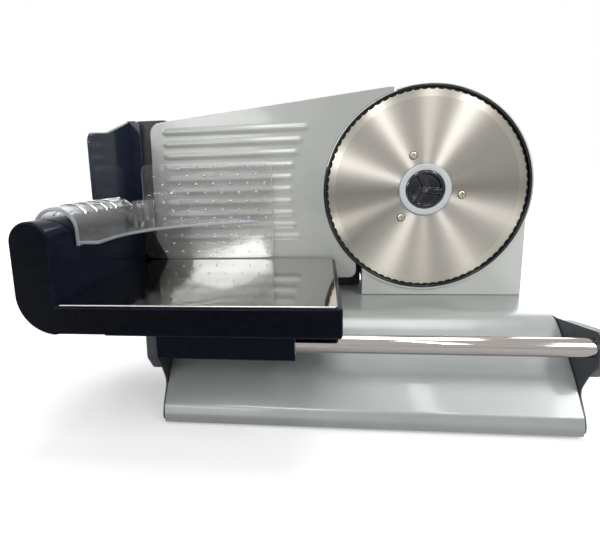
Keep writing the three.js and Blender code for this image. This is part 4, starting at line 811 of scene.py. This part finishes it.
# %% Saddle arch
saddle_x, arch_z, inner_radius, outer_radius, saddle_foot = -299.25, 167.7, 15.5, 18.3, 157.0
saddle_front, saddle_back, collar_start, collar_extra, rib_extra, edge = -158.0, -38.0, -43.0, 1.2, 1.2, 0.5
rib_middles, rib_half, ridge_full, ridge_end = -132.75 + 20.0 * np.arange(4), 4.25, 49.0, 52.0
rib_rows = rib_middles[:, None] + rib_half * np.sin(np.linspace(-np.pi / 2, np.pi / 2, 17))
end_roll = quarter_roll(edge, 4)[1]
station_y = np.unique(np.concatenate([
    saddle_front + end_roll, rib_rows.ravel(), saddle_back - end_roll, collar_start + np.array([-0.01, 0.0]),
    collar_start + end_roll, np.arange(-150.0, -45.0, 10.0),
]).round(4))
arch_turn = np.linspace(0, np.pi, 73)
to_end = np.minimum(station_y - saddle_front, saddle_back - station_y)
rolled_in = fall(to_end, edge)
from_rib = np.abs(station_y[:, None] - rib_middles).min(axis=1)
ridge = np.sqrt(1 - np.clip(from_rib / rib_half, 0, 1) ** 4)[:, None]
over_top = smooth_step(ridge_end, ridge_full, np.abs(np.degrees(arch_turn) - 90.0))[None, :]
collar = collar_extra - fall(station_y - collar_start, edge)
collar = np.where(station_y < collar_start, 0.0, collar)
outer = outer_radius + rib_extra * ridge * over_top + collar[:, None] - rolled_in[:, None]
inner = inner_radius + rolled_in[:, None] + 0 * outer
leg_z = np.full_like(rolled_in, saddle_foot)[:, None]


def arch_path(radius):
    """Up the right leg, round the arch and down the left leg, for every station."""
    x = saddle_x + np.concatenate([radius[:, :1], radius * np.cos(arch_turn), -radius[:, -1:]], axis=1)
    z = np.concatenate([leg_z, arch_z + radius * np.sin(arch_turn), leg_z], axis=1)
    return np.stack([x, z], -1)


arch_sections = np.concatenate([arch_path(outer), arch_path(inner)[:, ::-1]], axis=1)
saddle_arch = walled(arch_sections, station_y, "y")

# %% [markdown]
# The shelf's free edge is one long curve, from the narrow lip by the hand to the plate's foot. It is a
# quadratic curve: (1 - t)^2 A + 2 t (1 - t) B + t^2 C.

# %% Shelf, link block and plate
t = np.linspace(0, 1, 41)[:, None]
bend = (1 - t) ** 2 * np.array([-265.95, -128.0]) + 2 * t * (1 - t) * np.array([-264.5, -41.0])
bend = bend + t**2 * np.array([-165.0, -6.6])
shelf_outline = np.concatenate([[(-282.3, -157.9), (-265.95, -157.9)], bend, [(-282.3, -6.6)]])
shelf_low, shelf_high = 158.0, 160.5
link_outer = round_corners([(-282.3, -43.0, 1), (-271.85, -43.0, 2), (-271.85, -6.6, 2), (-282.3, -6.6, 1)])
link_inner = rectangle(-279.55, -37.7, -273.25, -9.3, 1)
link_rings = [link_outer, link_outer, inset(link_outer, 0.4), inset(link_inner, -0.3), link_inner, link_inner]
link_block = lofted(link_rings, [160.4, 183.4, 184.0, 184.0, 183.6, 163.8], "z")
saddle = joined(saddle_arch, rolled_prism(shelf_outline, shelf_low, shelf_high, edge, "z"), link_block)
saddle_piece = keep_flats(add_piece("pusher_saddle_skin", *saddle, "pusher", clear_styrene, "clear_plastic",
                                    ["pusher_saddle"]))


def paint_faces(piece, finish, is_painted):
    """Gives the finish to each face for which is_painted(centre in mm, normal) holds."""
    piece.data.materials.append(finish)
    for face in piece.data.polygons:
        if is_painted((np.array(face.center) - frame_origin) / millimetre, face.normal):
            face.material_index = len(piece.data.materials) - 1


# Painted highlight: the saddle's front rim, the shelf's edge and the feet take the pale edge finish.
def saddle_edge(centre, normal):
    x, y, z = centre
    on_rim = y < saddle_front + 0.6 and abs(normal.y) > 0.5
    on_shelf = x > saddle_x + outer_radius and shelf_low < z < shelf_high and abs(normal.z) < 0.9
    return on_rim or on_shelf or z < saddle_foot + 0.1


paint_faces(saddle_piece, frosted_edge_painted_highlight, saddle_edge)

# %% [markdown]
# ## Pieces with plain rounded edges
# Some solids already have their full shape and only lack the small round edge of a moulding. Each is copied,
# its loose corners are welded, and a Bevel modifier rolls its sharp edges.

# %% Rounded copies
def rounded_copy(node_name, width, finish):
    sharp_from = math.radians(40.0)
    mesh = frame["nodes"][node_name].data.copy()
    welded = bmesh.new()
    welded.from_mesh(mesh)
    bmesh.ops.remove_doubles(welded, verts=welded.verts, dist=2e-6)
    bmesh.ops.dissolve_limit(welded, angle_limit=math.radians(0.5), verts=welded.verts, edges=welded.edges)
    welded.to_mesh(mesh)
    welded.free()
    mesh.materials.clear()
    mesh.materials.append(finish)
    piece = new_object(f"{node_name}_skin", mesh)
    mesh.shade_smooth()
    mesh.set_sharp_from_angle(angle=sharp_from)
    rounding = piece.modifiers.new("round edges", "BEVEL")
    rounding.width = width * millimetre
    rounding.segments = 3
    rounding.limit_method = "ANGLE"
    rounding.angle_limit = sharp_from
    rounding.use_clamp_overlap = True
    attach(piece, body_of_node[node_name])
    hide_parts(node_name)
    return keep_flats(piece)


rounded = [
    ("pusher_plate", 0.3, clear_styrene), ("plate_carrier", 0.7, housing_black),
    ("guide_block", 1.0, housing_black), ("carriage_runner", 0.8, carriage_black),
    ("carriage_glide", 0.5, nylon_white), ("rear_housing", 0.9, housing_black),
    ("thickness_knob", 0.5, housing_black), ("power_switch", 0.4, housing_black),
    ("safety_button", 0.6, cover_grey), ("cord_gland", 0.4, housing_black),
    ("base_floor", 0.5, housing_black),
    *[(f"foot_{end}_{side}", 0.3, foot_rubber) for side in ("left", "right") for end in ("front", "rear")],
    *[(f"upright_bolt_{i}", 0.4, screw_zinc) for i in (1, 2)],
]
copies = {node_name: rounded_copy(node_name, width, finish) for node_name, width, finish in rounded}
# Painted highlight: the pusher plate's narrow edges take the pale edge finish.
paint_faces(copies["pusher_plate"], frosted_edge_painted_highlight, lambda centre, normal: abs(normal.y) < 0.3)
# Painted highlight: the upward facets of the pyramids take the white finish.
paint_faces(copies["pusher_plate"], painted_highlight_facet,
            lambda centre, normal: 0.3 <= abs(normal.y) < 0.95 and normal.z > 0.2)
print(len(rounded), "solids copied with rounded edges")

# %% Screws of the rear housing and the floor
for i, place in enumerate([(-49.0, 93.9), (88.0, 93.9), (88.0, 195.0), (-50.5, 204.0)], 1):
    add_piece(f"housing_screw_{i}_skin", *cross_screw(place, screw_radius, 90.1, 88.1, "y"), "base",
              screw_zinc, "zinc_steel", [f"housing_screw_{i}"])
for i, place in enumerate([(x, y) for x in (-218.0, 84.0) for y in (-30.0, 30.0)], 1):
    add_piece(f"floor_screw_{i}_skin", *cross_screw(place, screw_radius, 1.3, 2.9, "z"), "base",
              screw_zinc, "zinc_steel", [f"floor_screw_{i}"])

# %% [markdown]
# ## Camera, floor and light
# The camera stands where the photograph's camera stood: a little left of the blade, half a metre in front,
# and looking down by 12 degrees. Its angles come from the edges of the base and tray in the photograph.

# %% Camera
yaw, pitch, roll_angle = math.radians(7.48), math.radians(11.66), math.radians(-1.55)
forward = np.array([-math.sin(yaw) * math.cos(pitch), math.cos(yaw) * math.cos(pitch), -math.sin(pitch)])
level_right = np.array([math.cos(yaw), math.sin(yaw), 0.0])
level_up = np.cross(level_right, forward)
camera_right = math.cos(roll_angle) * level_right + math.sin(roll_angle) * level_up
camera_up = -math.sin(roll_angle) * level_right + math.cos(roll_angle) * level_up
camera_data = bpy.data.cameras.new("camera")
camera = new_object("camera", camera_data)
bpy.context.scene.camera = camera
rotation = Matrix(np.stack([camera_right, camera_up, -forward], axis=1).tolist())
camera.matrix_world = Matrix.Translation(in_frame([-101.04, -511.19, 206.44])) @ rotation.to_4x4()
camera_data.lens = 30.0024
camera_data.sensor_width = 36.0
camera_data.shift_x = 0.0719
camera_data.shift_y = -0.0009
camera_data.clip_start = 0.01
camera_data.clip_end = 100.0

# %% Floor
floor_size = 30.0
floor_mesh = bpy.data.meshes.new("floor")
floor_corners = [(x * floor_size, y * floor_size, 0) for x, y in ((-1, -1), (1, -1), (1, 1), (-1, 1))]
floor_mesh.from_pydata(floor_corners, [], [(0, 1, 2, 3)])
floor = new_object("floor", floor_mesh)
floor_paper = new_finish("pale paper floor", Base_Color=linear("#C8C8C8"), Roughness=0.9,
                         Emission_Color=linear("#FFFFFF"))
distance = add_node(floor_paper, "ShaderNodeVectorMath", {0: object_place(floor_paper)}, output="Value",
                    operation="LENGTH")
far_off = add_node(floor_paper, "ShaderNodeMapRange",
                   {"Value": distance, "From Min": 0.2, "From Max": 1.2, "To Min": 0.4})
seen = add_node(floor_paper, "ShaderNodeLightPath", output="Is Camera Ray")
add_node(floor_paper, "ShaderNodeMath", {0: far_off, 1: seen}, into="Emission Strength", operation="MULTIPLY")
floor_mesh.materials.append(floor_paper)

# %% World
world = bpy.data.worlds.new("studio")
bpy.context.scene.world = world
world.use_nodes = True
sky = world.node_tree.nodes["Background"]
sky.inputs["Color"].default_value = linear("#FFFFFF")
rays = add_node(world, "ShaderNodeLightPath").node.outputs
seen = rays["Is Camera Ray"]
for ray in ("Is Glossy Ray", "Is Transmission Ray"):
    seen = add_node(world, "ShaderNodeMath", {0: seen, 1: rays[ray]}, operation="MAXIMUM")
room_light, mirrored_light = 0.27, 1.0
strength = add_node(world, "ShaderNodeMapRange",
                    {"Value": seen, "To Min": room_light, "To Max": mirrored_light})
world.node_tree.links.new(strength, sky.inputs["Strength"])

# %% [markdown]
# A large box above and one behind light the deck, the tray and the back. Four long ones draw the bright fans
# on the blade. A fan lies where the axis, the box and the camera are in one plane, on both sides of the hub.
# The long side of each box runs with its fan, which keeps the fan narrow.

# %% Soft boxes
def soft_box(name, place, fan, width, length, watts):
    """A box aimed at the middle of the blade. Its length lies along the fan's direction, given in degrees."""
    away = np.array(place, float) - [0, 0, blade_axis_z]
    away /= np.linalg.norm(away)
    along = np.array([math.cos(math.radians(fan)), 0.0, math.sin(math.radians(fan))])
    along -= away * (along @ away)
    along /= np.linalg.norm(along)
    turn = Matrix(np.stack([np.cross(along, away), along, away], axis=1).tolist())
    light = bpy.data.lights.new(name, "AREA")
    light.shape = "RECTANGLE"
    light.size, light.size_y, light.energy = width, length, watts
    box = new_object(name, light)
    box.matrix_world = Matrix.Translation(in_frame(place)) @ turn.to_4x4()


soft_box("soft box, right", (792, -992, 1160), 65, 0.2, 0.9, 12)
soft_box("soft box, top", (310, -1095, 1312), 90, 0.08, 0.9, 4)
soft_box("soft box, top left", (-318, -1357, 1158), 122, 0.12, 0.9, 8)
soft_box("soft box, left", (-706, -1403, 496), 160, 0.16, 0.9, 6)
soft_box("large box above", (60, 250, 1500), 0, 1.2, 0.8, 18)
soft_box("large box behind", (500, 1500, 900), 0, 1.2, 0.8, 12)

# %% Look
bpy.context.scene.view_settings.view_transform = "Standard"
